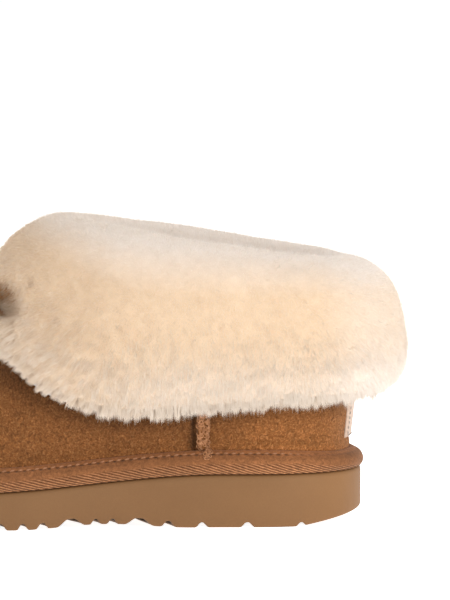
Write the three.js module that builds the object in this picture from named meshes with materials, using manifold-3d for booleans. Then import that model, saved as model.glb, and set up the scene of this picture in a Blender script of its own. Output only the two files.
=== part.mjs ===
// Ankle boot of suede sheepskin on a moulded sole, with a deep fur cuff turned down over the shaft.
// Left shoe, standing on a floor. Millimetres, +X to the toe, +Y to the outer side, +Z up.
// The boot is drawn from the back of the sole at x = 0 and centred on the origin at the end.
import * as THREE from "three";
import { mergeVertices } from "three/addons/utils/BufferGeometryUtils.js";
import Module from "manifold-3d";

const wasm = await Module();
wasm.setup();

// Driving dimensions
const SOLE_LENGTH = 262;
const BALL_WIDTH = 97;
const HEEL_STACK = 23.2; // top of the sole under the heel
const BALL_STACK = 16.2; // top of the sole under the ball of the foot
const TOE_STACK = 21.5; // top of the sole at the toe tip
const TOE_SPRING = 9; // how far the tread lifts off the floor at the toe tip
const HEEL_BEVEL = 5; // the same at the back of the heel
const ARCH_RISE = 2; // the same under the waist
const WALL = 3; // suede and its backing, without the wool
const GAP = 0.3; // between pieces that meet
const FEATHER_INSET = 7; // from the edge of the sole in to the upper
const COLLAR_BACK = 5; // x of the collar edge over the heel
const COLLAR_FRONT = 132; // x of the collar edge over the instep
const COLLAR_HALF_WIDTH = 37;
const COLLAR_BACK_HEIGHT = 100;
const COLLAR_FRONT_HEIGHT = 119;

// Where the tread leaves the floor, along the sole
const HEEL_FLAT = [28, 74];
const BALL_FLAT = [152, 200];

// How finely the faceted surfaces are divided
const STEPS_PER_STATION = 3;
const UPPER_ROWS = 11;

// Stations from the heel to the toe. The outline of the sole passes through one point a side at each:
// x as a share of SOLE_LENGTH, and y as a share of half of BALL_WIDTH, first outer side, then inner.
const OUTLINE = [
  { station: "heel back", outerX: 0, outerY: 0, innerX: 0, innerY: 0 },
  { station: "heel corner", outerX: 0.034, outerY: 0.495, innerX: 0.034, innerY: -0.485 },
  { station: "heel side", outerX: 0.126, outerY: 0.753, innerX: 0.126, innerY: -0.732 },
  { station: "side seam", outerX: 0.267, outerY: 0.794, innerX: 0.267, innerY: -0.753 },
  { station: "waist", outerX: 0.42, outerY: 0.856, innerX: 0.427, innerY: -0.804 },
  { station: "ball", outerX: 0.573, outerY: 0.979, innerX: 0.58, innerY: -0.948 },
  { station: "toe joint", outerX: 0.706, outerY: 1, innerX: 0.733, innerY: -1 },
  { station: "toe side", outerX: 0.84, outerY: 0.866, innerX: 0.87, innerY: -0.897 },
  { station: "toe corner", outerX: 0.947, outerY: 0.515, innerX: 0.969, innerY: -0.598 },
  { station: "toe tip", outerX: 1, outerY: -0.08, innerX: 1, innerY: -0.08 },
];

// The line of the upper over the last at each station, from the sole up to the collar: turn is the angle
// round the collar, in degrees from the back; rise and lean carry the line up and out of the sole; flare
// and drop bring it out from and down below the collar. Over it lies the cuff: hem is the height of its
// lower edge, and pile the depth of its fur.
const LAST = [
  { station: "heel back", turn: 0, rise: 30, lean: 3, flare: 4.4, drop: 36, hem: 56, pile: 25 },
  { station: "heel corner", turn: 30, rise: 30, lean: 2.6, flare: 3.4, drop: 36, hem: 54.5, pile: 25 },
  { station: "heel side", turn: 56, rise: 30, lean: 1.8, flare: 1.4, drop: 36, hem: 53, pile: 24.5 },
  { station: "side seam", turn: 86, rise: 30, lean: 2, flare: 1, drop: 36, hem: 51, pile: 24 },
  { station: "waist", turn: 112, rise: 32, lean: 3, flare: 8, drop: 42, hem: 49, pile: 24 },
  { station: "ball", turn: 131, rise: 35, lean: 4.5, flare: 18, drop: 50, hem: 57.5, pile: 26 },
  { station: "toe joint", turn: 146, rise: 38, lean: 5, flare: 26, drop: 57, hem: 69, pile: 30 },
  { station: "toe side", turn: 158, rise: 40, lean: 5, flare: 31, drop: 62, hem: 75, pile: 31 },
  { station: "toe corner", turn: 169, rise: 41, lean: 5, flare: 35, drop: 65, hem: 79, pile: 31 },
  { station: "toe tip", turn: 180, rise: 42, lean: 5, flare: 36, drop: 66, hem: 80, pile: 31 },
];
const STATIONS = OUTLINE.length - 1;
const AROUND = 2 * STATIONS * STEPS_PER_STATION;

// Small helpers
const mix = THREE.MathUtils.lerp;
const radians = THREE.MathUtils.degToRad;
const ease = (value, low, high) => THREE.MathUtils.smoothstep(value, low, high);
const count = (n) => Array.from({ length: n }, (_, i) => i);
const UP = new THREE.Vector3(0, 0, 1);

// A smooth curve through four neighbouring values, from the second to the third.
function spline(a, b, c, d, t) {
  const bend = 2 * a - 5 * b + 4 * c - d;
  const twist = 3 * (b - c) + d - a;
  return b + 0.5 * t * (c - a + t * (bend + t * twist));
}

// u runs once round the boot: 0 at the heel, up the outer side to the toe at 0.5, and back on the inner.
function outlinePoint(u) {
  const place = (((u % 1) + 1) % 1) * 2 * STATIONS;
  const first = Math.floor(place);
  const corner = (i) => {
    const k = (i + 2 * STATIONS) % (2 * STATIONS);
    const row = OUTLINE[k <= STATIONS ? k : 2 * STATIONS - k];
    const outer = k <= STATIONS;
    const x = SOLE_LENGTH * (outer ? row.outerX : row.innerX);
    const y = (BALL_WIDTH / 2) * (outer ? row.outerY : row.innerY);
    return [x, y];
  };
  const near = [-1, 0, 1, 2].map((step) => corner(first + step));
  const along = (axis) => spline(...near.map((p) => p[axis]), place - first);
  return new THREE.Vector2(along(0), along(1));
}

// The outline moved out by a distance; a negative distance moves it in.
function outlineAt(u, out) {
  const step = 0.002;
  const way = outlinePoint(u + step).sub(outlinePoint(u - step)).normalize();
  return outlinePoint(u).add(new THREE.Vector2(-way.y, way.x).multiplyScalar(out));
}

// A column of LAST at u, the same on both sides of the boot. Past the heel and the toe it goes on in
// mirror image, and only the turn keeps growing.
function lastValue(column, u) {
  const share = ((u % 1) + 1) % 1;
  const place = STATIONS * (share <= 0.5 ? 2 * share : 2 - 2 * share);
  const first = Math.min(Math.floor(place), STATIONS - 1);
  const value = (i) => {
    const row = i < 0 ? -i : i > STATIONS ? 2 * STATIONS - i : i;
    const found = LAST[row][column];
    if (row === i || column !== "turn") return found;
    return i < 0 ? -found : 360 - found;
  };
  return spline(...[-1, 0, 1, 2].map((step) => value(first + step)), place - first);
}

// Heights of the sole along its length
function soleTop(x) {
  const shank = mix(HEEL_STACK, BALL_STACK, ease(x, 62, 172));
  return shank + (TOE_STACK - BALL_STACK) * Math.max(0, (x - 185) / (SOLE_LENGTH - 185)) ** 2;
}

function soleBottom(x) {
  const heel = HEEL_BEVEL * Math.max(0, (HEEL_FLAT[0] - x) / HEEL_FLAT[0]) ** 1.1;
  const waist = THREE.MathUtils.clamp((x - HEEL_FLAT[1]) / (BALL_FLAT[0] - HEEL_FLAT[1]), 0, 1);
  const toe = TOE_SPRING * Math.max(0, (x - BALL_FLAT[1]) / (SOLE_LENGTH - BALL_FLAT[1])) ** 1.8;
  return heel + ARCH_RISE * Math.sin(Math.PI * waist) ** 2 + toe;
}

// The outer face of the upper: a line at u from the sole, at t = 0, to the collar edge, at t = 1.
function upperPoint(u, t) {
  const outer = ((u % 1) + 1) % 1 <= 0.5;
  const turn = radians(lastValue("turn", u));
  const half = (COLLAR_FRONT - COLLAR_BACK) / 2;
  const side = outer ? 1 : -1;
  const collar = new THREE.Vector3(
    COLLAR_BACK + half * (1 - Math.cos(turn)),
    side * COLLAR_HALF_WIDTH * Math.sin(turn),
    mix(COLLAR_BACK_HEIGHT, COLLAR_FRONT_HEIGHT, (1 - Math.cos(turn)) / 2),
  );
  const outward = new THREE.Vector3(-Math.cos(turn), side * Math.sin(turn), 0);
  const foot = outlineAt(u, -FEATHER_INSET);
  const leaning = outlineAt(u, lastValue("lean", u) - FEATHER_INSET);
  const floor = soleTop(foot.x) + GAP;
  const line = new THREE.CubicBezierCurve3(
    new THREE.Vector3(foot.x, foot.y, floor),
    new THREE.Vector3(leaning.x, leaning.y, floor + lastValue("rise", u)),
    collar
      .clone()
      .addScaledVector(outward, lastValue("flare", u))
      .addScaledVector(UP, -lastValue("drop", u)),
    collar,
  );
  return line.getPoint(t);
}

// The way out of the upper at (u, t), level with the floor along its lower edge.
function upperNormal(u, t) {
  const step = 0.002;
  const round = upperPoint(u + step, t).sub(upperPoint(u - step, t));
  const rising = upperPoint(u, Math.min(1, t + step)).sub(upperPoint(u, Math.max(0, t - step)));
  const normal = rising.cross(round);
  if (t === 0) normal.z = 0;
  return normal.normalize();
}

const upperAt = (u, t, out) => upperPoint(u, t).addScaledVector(upperNormal(u, t), out);

// t where the line at u reaches a height.
function rowAtHeight(u, height) {
  let low = 0;
  let high = 1;
  for (let i = 0; i < 30; i++) {
    const middle = (low + high) / 2;
    if (upperPoint(u, middle).z < height) low = middle;
    else high = middle;
  }
  return (low + high) / 2;
}

// Solids

// A mesh geometry from rings of the same number of points. Rings run round the boot as u does, and follow
// each other up its outside. They close on the first ring, or the two ends are covered side to side.
function loft(rings, closes) {
  const n = rings[0].length;
  const faces = [];
  const bands = closes ? rings.length : rings.length - 1;
  for (const j of count(bands)) {
    const here = j * n;
    const next = ((j + 1) % rings.length) * n;
    for (const i of count(n)) {
      const k = (i + 1) % n;
      faces.push(here + i, next + i, next + k, here + i, next + k, here + k);
    }
  }
  if (!closes) {
    const last = (rings.length - 1) * n;
    for (const i of count(n / 2)) {
      const [a, b, c, d] = [i, i + 1, n - i - 1, (n - i) % n];
      if (b !== c) faces.push(a, b, c, last + a, last + c, last + b);
      if (a !== d) faces.push(a, c, d, last + a, last + d, last + c);
    }
  }
  const geometry = new THREE.BufferGeometry().setFromPoints(rings.flat());
  return geometry.setIndex(faces);
}

function solid(geometry) {
  const bare = geometry.clone();
  bare.deleteAttribute("normal");
  bare.deleteAttribute("uv");
  const merged = mergeVertices(bare, 1e-4);
  return new wasm.Manifold(
    new wasm.Mesh({
      numProp: 3,
      vertProperties: merged.attributes.position.array,
      triVerts: new Uint32Array(merged.index.array),
    }),
  );
}

function geometryOf(made) {
  const mesh = made.getMesh();
  const geometry = new THREE.BufferGeometry();
  geometry.setAttribute("position", new THREE.BufferAttribute(mesh.vertProperties, 3));
  geometry.setIndex(new THREE.BufferAttribute(mesh.triVerts, 1));
  return geometry;
}

const turns = count(AROUND).map((i) => i / AROUND);
const ringOf = (pointAt) => turns.map(pointAt);
const box = (low, high) => {
  const size = new THREE.Vector3().subVectors(high, low);
  const middle = new THREE.Vector3().addVectors(low, high).multiplyScalar(0.5);
  return solid(new THREE.BoxGeometry(...size).translate(...middle));
};

// A wall between two distances out from the upper's outer face. It reaches below the upper's lower edge
// and above the collar by the margins given.
function wallBetween(inside, outside, below = 0, above = 0) {
  const rows = count(UPPER_ROWS).map((j) => (j / (UPPER_ROWS - 1)) ** 1.15);
  const face = (out) => {
    const rings = rows.map((t) => ringOf((u) => upperAt(u, t, out)));
    const raise = (ring, by) => ring.map((p) => p.clone().addScaledVector(UP, by));
    if (below) rings.unshift(raise(rings[0], -below));
    if (above) rings.push(raise(rings[rings.length - 1], above));
    return rings;
  };
  return solid(loft([...face(outside), ...face(inside).reverse()], true));
}

// What the pieces round the upper are cut with, so that they clear it.
const upperClearance = wallBetween(-WALL - GAP, GAP, 4, GAP);

// Upper: one hollow wall, open at the collar and underneath
const upper = wallBetween(-WALL, 0);

// Outsole: a moulded block with a bevelled heel, arch, toe spring and cross-cut lugs
const SOLE_RINGS = [
  { inset: 1.2, above: 0 },
  { inset: 0.35, above: 0.6 },
  { inset: 0.05, above: 1.8 },
  { inset: 0, below: 2.2 },
  { inset: 0.4, below: 0.6 },
  { inset: 1.3, below: 0 },
];
// Grooves across the tread, heel to toe: width at the tread, depth into it, and sideways wave
const GROOVES = [
  { x: 27, width: 3.5, depth: 1.6, wave: 0 },
  { x: 51.5, width: 5, depth: 2.2, wave: 1.5 },
  { x: 71.5, width: 4.5, depth: 2.2, wave: 1.5 },
  { x: 89, width: 5.5, depth: 2.6, wave: 5 },
  { x: 102, width: 10.5, depth: 3, wave: 5 },
  { x: 114, width: 4, depth: 2.4, wave: 5 },
  { x: 121.5, width: 4, depth: 2.4, wave: 5 },
  { x: 132.5, width: 10, depth: 3.2, wave: 5 },
  { x: 145, width: 4.5, depth: 2.6, wave: 5 },
  { x: 153.5, width: 4, depth: 2.8, wave: 5 },
  { x: 163, width: 4.5, depth: 2.8, wave: 5 },
  { x: 174, width: 4.5, depth: 2.8, wave: 5 },
  { x: 197, width: 4.5, depth: 2.8, wave: 5 },
  { x: 209, width: 4.5, depth: 2.8, wave: 5 },
  { x: 221, width: 4.5, depth: 2.8, wave: 5 },
  { x: 233, width: 4.5, depth: 2.8, wave: 5 },
  { x: 244, width: 4.5, depth: 2.8, wave: 5 },
];
const GROOVE_WAVES = 2;
const GROOVE_STEPS = 7;

function grooveCut({ x, width, depth, wave }) {
  const reach = 0.62 * BALL_WIDTH;
  const bottom = -3;
  const roof = soleBottom(x) + depth;
  const flank = 0.5 * width;
  const profile = [
    [-flank - 0.4, bottom],
    [flank + 0.4, bottom],
    [0.62 * flank, roof - 0.5],
    [0.3 * flank, roof],
    [-0.3 * flank, roof],
    [-0.62 * flank, roof - 0.5],
  ];
  const n = profile.length;
  const points = [];
  const faces = [];
  for (const i of count(GROOVE_STEPS + 1)) {
    const y = mix(-reach, reach, i / GROOVE_STEPS);
    const swing = wave * Math.sin((GROOVE_WAVES * Math.PI * y) / reach);
    for (const [dx, z] of profile) points.push(new THREE.Vector3(x + swing + dx, y, z));
  }
  for (const i of count(GROOVE_STEPS)) {
    for (const j of count(n)) {
      const [a, b] = [i * n + j, i * n + ((j + 1) % n)];
      faces.push(a, a + n, b + n, a, b + n, b);
    }
  }
  const last = GROOVE_STEPS * n;
  for (const j of count(n - 2)) {
    faces.push(0, j + 1, j + 2);
    faces.push(last, last + j + 2, last + j + 1);
  }
  return solid(new THREE.BufferGeometry().setFromPoints(points).setIndex(faces));
}

function outsoleSolid() {
  const rings = SOLE_RINGS.map(({ inset, above, below }) =>
    ringOf((u) => {
      const { x, y } = outlineAt(u, -inset);
      return new THREE.Vector3(x, y, below === undefined ? soleBottom(x) + above : soleTop(x) - below);
    }),
  );
  const block = solid(loft(rings, false));
  return GROOVES.reduce((sole, groove) => sole.subtract(grooveCut(groove)), block);
}

// Insole: a flat footbed inside the upper
const INSOLE_THICKNESS = 6;
const INSOLE_ROUND = 1.5;

function insoleSolid() {
  const inset = FEATHER_INSET + WALL + 0.8;
  const ring = (more, height) =>
    ringOf((u) => {
      const { x, y } = outlineAt(u, -inset - more);
      return new THREE.Vector3(x, y, soleTop(x) + GAP + height);
    });
  const edge = INSOLE_THICKNESS - INSOLE_ROUND;
  return solid(loft([ring(0, 0), ring(0, edge), ring(INSOLE_ROUND, INSOLE_THICKNESS)], false));
}

// Binding: a tape-covered roll that wraps the lower edge of the upper and stands on the rim of the sole
const BINDING_HEIGHT = 10.3;
const BINDING_HEEL = 0.78; // its height round the back of the heel, as a share of that at the sides
const BINDING_SECTION = [
  { out: -0.3, height: 0 },
  { out: 0.75, height: 1.4 },
  { out: 1.15, height: 3.5 },
  { out: 0.7, height: 5.8 },
  { out: -0.6, height: 8 },
  { out: -2.4, height: 9.4 },
  { out: -4.9, height: BINDING_HEIGHT },
];

const bindingScale = (x) => mix(BINDING_HEEL, 1, ease(x, 0, 45));

function bindingSolid() {
  const roll = BINDING_SECTION.map(({ out, height }) =>
    ringOf((u) => {
      const { x, y } = outlineAt(u, out);
      return new THREE.Vector3(x, y, soleTop(x) + GAP + height * bindingScale(x));
    }),
  );
  const inner = [1, 0.5, 0].map((share) =>
    ringOf((u) => {
      const foot = upperPoint(u, 0);
      const height = share * BINDING_HEIGHT * bindingScale(foot.x);
      return upperAt(u, share ? rowAtHeight(u, foot.z + height) : 0, GAP);
    }),
  );
  return solid(loft([...roll, ...inner], true));
}

// Side seams and heel label: overlays cut from a wall just outside the upper
const SEAM_X = 70;
const SEAM_WIDTH = 5.4;
const SEAM_RAISED = 1.7;
const SEAM_TOP = 62; // under the cuff
const LABEL_WIDTH = 22;
const LABEL_BOTTOM = 36;
const LABEL_TOP = 62; // under the cuff
const LABEL_RAISED = 1.2;
const SEAM_BOTTOM = soleTop(SEAM_X) + BINDING_HEIGHT + 2 * GAP; // on the binding

function overlay(low, high, raised, grown) {
  const more = new THREE.Vector3(1, 1, 1).multiplyScalar(grown);
  const wall = wallBetween(GAP - grown, GAP + raised + grown);
  return wall.intersect(box(low.clone().sub(more), high.clone().add(more)));
}

function sideSeam(side, grown = 0) {
  const near = 20;
  const far = 60;
  const low = new THREE.Vector3(SEAM_X - SEAM_WIDTH / 2, side > 0 ? near : -far, SEAM_BOTTOM);
  const high = new THREE.Vector3(SEAM_X + SEAM_WIDTH / 2, side > 0 ? far : -near, SEAM_TOP);
  return overlay(low, high, SEAM_RAISED, grown);
}

function heelLabel(grown = 0) {
  const low = new THREE.Vector3(-10, -LABEL_WIDTH / 2, LABEL_BOTTOM);
  const high = new THREE.Vector3(30, LABEL_WIDTH / 2, LABEL_TOP);
  return overlay(low, high, LABEL_RAISED, grown);
}

// Fur cuff: the top of the shaft turned down, fur side out. Its body is a soft roll that hooks over the
// collar edge, and its locks are fused on.
const TOP_PILE = 17.5; // fur above the collar edge
const LINING_PILE = 9; // fur inside the collar
const LIP_DEPTH = 13; // how far the fur reaches down inside the collar
const CUFF_AROUND = 2 * STATIONS * 2;

// Section of the cuff's outside, from the hem (up = 0) to the collar edge (up = 1), in shares of the
// pile: round the heel and sides, and over the instep, where the fur hangs straight down off the collar
const CUFF_SIDE = [
  { up: 0, depth: 0.3, instep: 0.3 },
  { up: 0.05, depth: 0.6, instep: 0.46 },
  { up: 0.14, depth: 0.8, instep: 0.6 },
  { up: 0.3, depth: 0.95, instep: 0.74 },
  { up: 0.55, depth: 1, instep: 0.9 },
  { up: 0.8, depth: 0.97, instep: 0.95 },
  { up: 1, depth: 0.89, instep: 0.94 },
];
const INSTEP_TURNS = [105, 165]; // where round the collar one section goes over into the other
// Section over the collar edge: out in shares of the pile, inward in shares of the wall and its lining
const CUFF_TOP = [
  { out: 0.74, rise: 0.42 },
  { out: 0.48, rise: 0.74 },
  { out: 0.18, rise: 0.95 },
  { inward: 0.5, rise: 0.98 },
  { inward: 0.88, rise: 0.72 },
  { inward: 1, rise: 0.2 },
  { inward: 0.96, rise: -0.6 },
];

const hemRow = (u) => rowAtHeight(u, lastValue("hem", u));
const flatNormal = (u, t) => upperNormal(u, t).setZ(0).normalize();
const cuffRing = (pointAt) => count(CUFF_AROUND).map((i) => pointAt(i / CUFF_AROUND));

// A point on the fur's outside. Below the hem it hangs straight down.
function furPoint(u, up, lift = 0) {
  const place = Math.max(up, 0);
  const next = CUFF_SIDE.findIndex((row) => row.up >= Math.max(place, 0.01));
  const [a, b] = [CUFF_SIDE[next - 1], CUFF_SIDE[next]];
  const share = (place - a.up) / (b.up - a.up);
  const instep = ease(lastValue("turn", u), ...INSTEP_TURNS);
  const depth = mix(mix(a.depth, b.depth, share), mix(a.instep, b.instep, share), instep);
  const t = mix(hemRow(u), 1, place);
  const out = upperNormal(u, t).lerp(flatNormal(u, t), mix(0.35, 1, place)).normalize();
  const point = upperPoint(u, t).addScaledVector(out, depth * lastValue("pile", u) + lift);
  const height = upperPoint(u, 1).z - lastValue("hem", u);
  return point.addScaledVector(UP, Math.min(up, 0) * height);
}

function cuffRings() {
  const outside = CUFF_SIDE.map(({ up }) => cuffRing((u) => furPoint(u, up)));
  const over = CUFF_TOP.map(({ out, inward, rise }) =>
    cuffRing((u) => {
      const reach = inward === undefined ? out * lastValue("pile", u) : -inward * (WALL + LINING_PILE);
      const point = upperPoint(u, 1).addScaledVector(flatNormal(u, 1), reach);
      return point.addScaledVector(UP, TOP_PILE * rise);
    }),
  );
  const lip = (u) => rowAtHeight(u, upperPoint(u, 1).z - LIP_DEPTH);
  const within = [1, 0.66, 0.33, 0].map((share) =>
    cuffRing((u) => upperAt(u, mix(hemRow(u), lip(u), share), -WALL / 2)),
  );
  return [...outside, ...over, ...within];
}

// One lock: a four-sided tuft, rooted under the fur's face and lying down over it to a point.
const LOCK_THICKNESS = 0.38; // half of it at the root, as a share of the width
const LOCK_STAND = 2.6; // of its tip, out from the fur's face

function lock(u, from, to, width) {
  const step = 0.004;
  const round = furPoint(u + step, from).sub(furPoint(u - step, from)).normalize();
  const out = upperNormal(u, mix(hemRow(u), 1, from));
  const thick = LOCK_THICKNESS * width;
  const root = furPoint(u, from, -0.8 * thick);
  const corners = [[0.5, 0], [0, 1], [-0.5, 0], [0, -1]].map(([across, deep]) =>
    root.clone().addScaledVector(round, across * width).addScaledVector(out, deep * thick),
  );
  const points = [...corners, furPoint(u, to, LOCK_STAND)];
  const faces = [0, 4, 1, 1, 4, 2, 2, 4, 3, 3, 4, 0, 0, 1, 2, 0, 2, 3];
  return solid(new THREE.BufferGeometry().setFromPoints(points).setIndex(faces));
}

// Rows of locks round the cuff, from the hem up: where they root and end on the fur's outside
const LOCK_ROWS = [
  { from: 0.2, to: -0.1, number: 34, width: 12 },
  { from: 0.44, to: 0.12, number: 23, width: 14 },
  { from: 0.7, to: 0.4, number: 18, width: 15 },
];

function furLocks() {
  return LOCK_ROWS.flatMap(({ from, to, number, width }, row) =>
    count(number).map((i) => {
      const sway = 0.25 * Math.sin(5.1 * i + 2 * row);
      const reach = 0.04 * Math.cos(2.4 * i + row);
      return lock((i + 0.5 * (row % 2) + sway) / number, from, to + reach, width);
    }),
  );
}

function furCuff() {
  const body = furLocks().reduce((fur, tuft) => fur.add(tuft), solid(loft(cuffRings(), true)));
  const cuts = [upperClearance, sideSeam(1, GAP), sideSeam(-1, GAP), heelLabel(GAP)];
  return cuts.reduce((fur, cut) => fur.subtract(cut), body);
}

// Materials
const suede = new THREE.MeshStandardMaterial({ color: 0x8f5a32, roughness: 0.95, metalness: 0 });
const tape = new THREE.MeshStandardMaterial({ color: 0xa0673f, roughness: 0.85, metalness: 0 });
const foam = new THREE.MeshStandardMaterial({ color: 0x9a6f49, roughness: 0.75, metalness: 0 });
const fur = new THREE.MeshStandardMaterial({ color: 0xf3dcbc, roughness: 1, metalness: 0 });
const fleece = new THREE.MeshStandardMaterial({ color: 0xeed7b6, roughness: 1, metalness: 0 });
const labelCloth = new THREE.MeshStandardMaterial({ color: 0xe9d9c8, roughness: 0.9, metalness: 0 });

const PIECES = [
  ["outsole", outsoleSolid(), foam],
  ["insole", insoleSolid(), fleece],
  ["binding", bindingSolid(), tape],
  ["upper", upper, suede],
  ["side_seam_outer", sideSeam(1), suede],
  ["side_seam_inner", sideSeam(-1), suede],
  ["heel_label", heelLabel(), labelCloth],
  ["fur_cuff", furCuff(), fur],
];

const boot = new THREE.Group();
for (const [name, made, material] of PIECES) {
  const mesh = new THREE.Mesh(geometryOf(made), material);
  mesh.name = name;
  boot.add(mesh);
}

// The origin is on the floor, under the middle of the boot's box.
const extent = new THREE.Box3().setFromObject(boot);
const middle = extent.getCenter(new THREE.Vector3());
for (const mesh of boot.children) mesh.position.set(-middle.x, -middle.y, 0);

export default boot;
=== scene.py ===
import math

import bpy
import numpy as np
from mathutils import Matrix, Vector
from mathutils.kdtree import KDTree


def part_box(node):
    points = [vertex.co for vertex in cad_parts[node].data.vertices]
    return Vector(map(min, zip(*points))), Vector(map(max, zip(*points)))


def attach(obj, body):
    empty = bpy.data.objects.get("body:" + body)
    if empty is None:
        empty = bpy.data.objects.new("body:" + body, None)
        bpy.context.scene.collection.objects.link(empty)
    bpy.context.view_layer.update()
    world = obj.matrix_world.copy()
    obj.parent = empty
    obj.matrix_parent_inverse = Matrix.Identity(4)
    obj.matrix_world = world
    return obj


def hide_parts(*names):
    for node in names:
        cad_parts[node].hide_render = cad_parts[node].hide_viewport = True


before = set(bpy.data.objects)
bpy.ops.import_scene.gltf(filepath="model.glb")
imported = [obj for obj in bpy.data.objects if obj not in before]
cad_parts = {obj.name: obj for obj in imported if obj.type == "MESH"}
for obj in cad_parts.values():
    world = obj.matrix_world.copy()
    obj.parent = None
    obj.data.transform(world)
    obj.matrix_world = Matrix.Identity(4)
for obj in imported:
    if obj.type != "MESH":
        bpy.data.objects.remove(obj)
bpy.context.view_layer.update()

# Outsole
# A unit of tan foam, moulded in one piece and glued under the upper. Its heel is bevelled, its waist and
# toe lift off the floor, and wavy grooves run across the tread and break its lower edge.
MM = 0.001
SOLE_LENGTH, BALL_WIDTH = 262, 97
HEEL_STACK, BALL_STACK, TOE_STACK = 23.2, 16.2, 21.5
TOE_SPRING, HEEL_BEVEL, ARCH_RISE = 9, 5, 2
SPRING_CURVE, BEVEL_CURVE = 1.8, 1.1
SHANK_SLOPE, TOE_RISE_START = (62, 172), 185
HEEL_FLAT, BALL_FLAT = (28, 74), (152, 200)
SOLE_AROUND, SOLE_ACROSS, TOP_ACROSS = 840, 44, 4
# Steps round the outline in the solid, and the part of a turn over which a way along it is measured
OUTLINE_STEPS, TURN_STEP = 54, 0.002

# Stations of the outline, from the heel to the toe: shares of the length and of half the ball's width
OUTER_SIDE = [
    (0, 0), (0.034, 0.495), (0.126, 0.753), (0.267, 0.794), (0.42, 0.856),
    (0.573, 0.979), (0.706, 1), (0.84, 0.866), (0.947, 0.515), (1, -0.08),
]
INNER_SIDE = [
    (0.034, -0.485), (0.126, -0.732), (0.267, -0.753), (0.427, -0.804),
    (0.58, -0.948), (0.733, -1), (0.87, -0.897), (0.969, -0.598),
]
OUTLINE = np.array(OUTER_SIDE + INNER_SIDE[::-1]) * (SOLE_LENGTH, BALL_WIDTH / 2)

# Inset from the outline at steps up the sole's side, above its lower edge and below its upper one
SOLE_LOWER = [(1.2, 0), (0.7, 0.1), (0.35, 0.4), (0.12, 0.9), (0.03, 1.8)]
SOLE_UPPER = [(0, 6), (0, 2.2), (0.12, 1.4), (0.4, 0.65), (0.8, 0.2), (1.3, 0)]

# Grooves of the tread, heel to toe: place along the sole, width, depth and sideways wave
GROOVES = [
    (27, 3.5, 1.6, 0), (51.5, 5, 2.2, 1.5), (71.5, 4.5, 2.2, 1.5), (89, 5.5, 2.6, 5), (102, 10.5, 3, 5),
    (114, 4, 2.4, 5), (121.5, 4, 2.4, 5), (132.5, 10, 3.2, 5), (145, 4.5, 2.6, 5), (153.5, 4, 2.8, 5),
    (163, 4.5, 2.8, 5), (174, 4.5, 2.8, 5), (197, 4.5, 2.8, 5), (209, 4.5, 2.8, 5), (221, 4.5, 2.8, 5),
    (233, 4.5, 2.8, 5), (244, 4.5, 2.8, 5),
]
# All grooves: length of the wave, half-widths of floor and edge as shares of the width, and the depths
# between which painted shade darkens them. Ribs: pitch, depth, wave, half-width of their band and highest
# place.
GROOVE_WAVE_LENGTH, GROOVE_FLOOR, GROOVE_EDGE, GROOVE_SHADE = 60, 0.1, 0.64, (0.5, 1.4)
RIB_PITCH, RIB_DEPTH, RIB_WAVE, RIB_BAND, RIB_LIMIT = 3.2, 0.35, 1.5, (20, 26), 1.5


def smooth_step(value, low, high):
    share = np.clip((value - low) / (high - low), 0, 1)
    return share * share * (3 - 2 * share)


def between(a, b, c, d, t):
    """A smooth curve from b to c at a share t of the way, as it comes from a and goes on to d."""
    return b + 0.5 * t * (c - a + t * (2 * a - 5 * b + 4 * c - d + t * (3 * (b - c) + d - a)))


def closed_spline(rows, u):
    """A smooth closed curve through rows of values, once round as u goes from 0 to 1."""
    rows = np.asarray(rows, float)
    place = np.mod(u, 1.0) * len(rows)
    first = np.floor(place).astype(int)
    t = (place - first)[..., None]
    return between(*(rows[(first + step) % len(rows)] for step in (-1, 0, 1, 2)), t)


def outline_at(u, out):
    """The sole's outline at u, moved out by a distance. u is 0 at the heel and 0.5 at the toe."""
    way = closed_spline(OUTLINE, u + TURN_STEP) - closed_spline(OUTLINE, u - TURN_STEP)
    way /= np.linalg.norm(way, axis=-1, keepdims=True)
    sideways = np.stack([-way[..., 1], way[..., 0]], axis=-1)
    return closed_spline(OUTLINE, u) + sideways * np.asarray(out, float)[..., None]


def sole_top(x):
    shank = HEEL_STACK + (BALL_STACK - HEEL_STACK) * smooth_step(x, *SHANK_SLOPE)
    to_toe = np.maximum(0, (x - TOE_RISE_START) / (SOLE_LENGTH - TOE_RISE_START))
    return shank + (TOE_STACK - BALL_STACK) * to_toe**2


def sole_bottom(x):
    heel = HEEL_BEVEL * np.maximum(0, (HEEL_FLAT[0] - x) / HEEL_FLAT[0]) ** BEVEL_CURVE
    waist = np.clip((x - HEEL_FLAT[1]) / (BALL_FLAT[0] - HEEL_FLAT[1]), 0, 1)
    toe = np.maximum(0, (x - BALL_FLAT[1]) / (SOLE_LENGTH - BALL_FLAT[1]))
    return heel + ARCH_RISE * np.sin(np.pi * waist) ** 2 + TOE_SPRING * toe**SPRING_CURVE


def tread(x, y):
    """Height of the tread's face: lugs with soft edges, and fine ribs down the middle of the wide ones."""
    cut = np.zeros_like(x)
    sway = np.sin(2 * np.pi * y / GROOVE_WAVE_LENGTH)
    for place, width, depth, wave in GROOVES:
        off = np.abs(x - (place + wave * sway))
        cut = np.maximum(cut, depth * (1 - smooth_step(off, GROOVE_FLOOR * width, GROOVE_EDGE * width)))
    ribs = 0.5 - 0.5 * np.cos(2 * np.pi * (x + RIB_WAVE * sway) / RIB_PITCH)
    inside = 1 - smooth_step(np.abs(y), *RIB_BAND)
    bottom = sole_bottom(x)
    return bottom + np.maximum(cut, RIB_DEPTH * ribs * inside * (bottom < RIB_LIMIT))


# The heel's place in the frame: the boot is measured from the back of the sole
sole_low, sole_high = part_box("outsole")
outline_ring = closed_spline(OUTLINE, np.arange(OUTLINE_STEPS) / OUTLINE_STEPS)
HEEL_PLACE = np.array([sole_low.x, sole_high.y - outline_ring[:, 1].max() * MM, 0])


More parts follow.
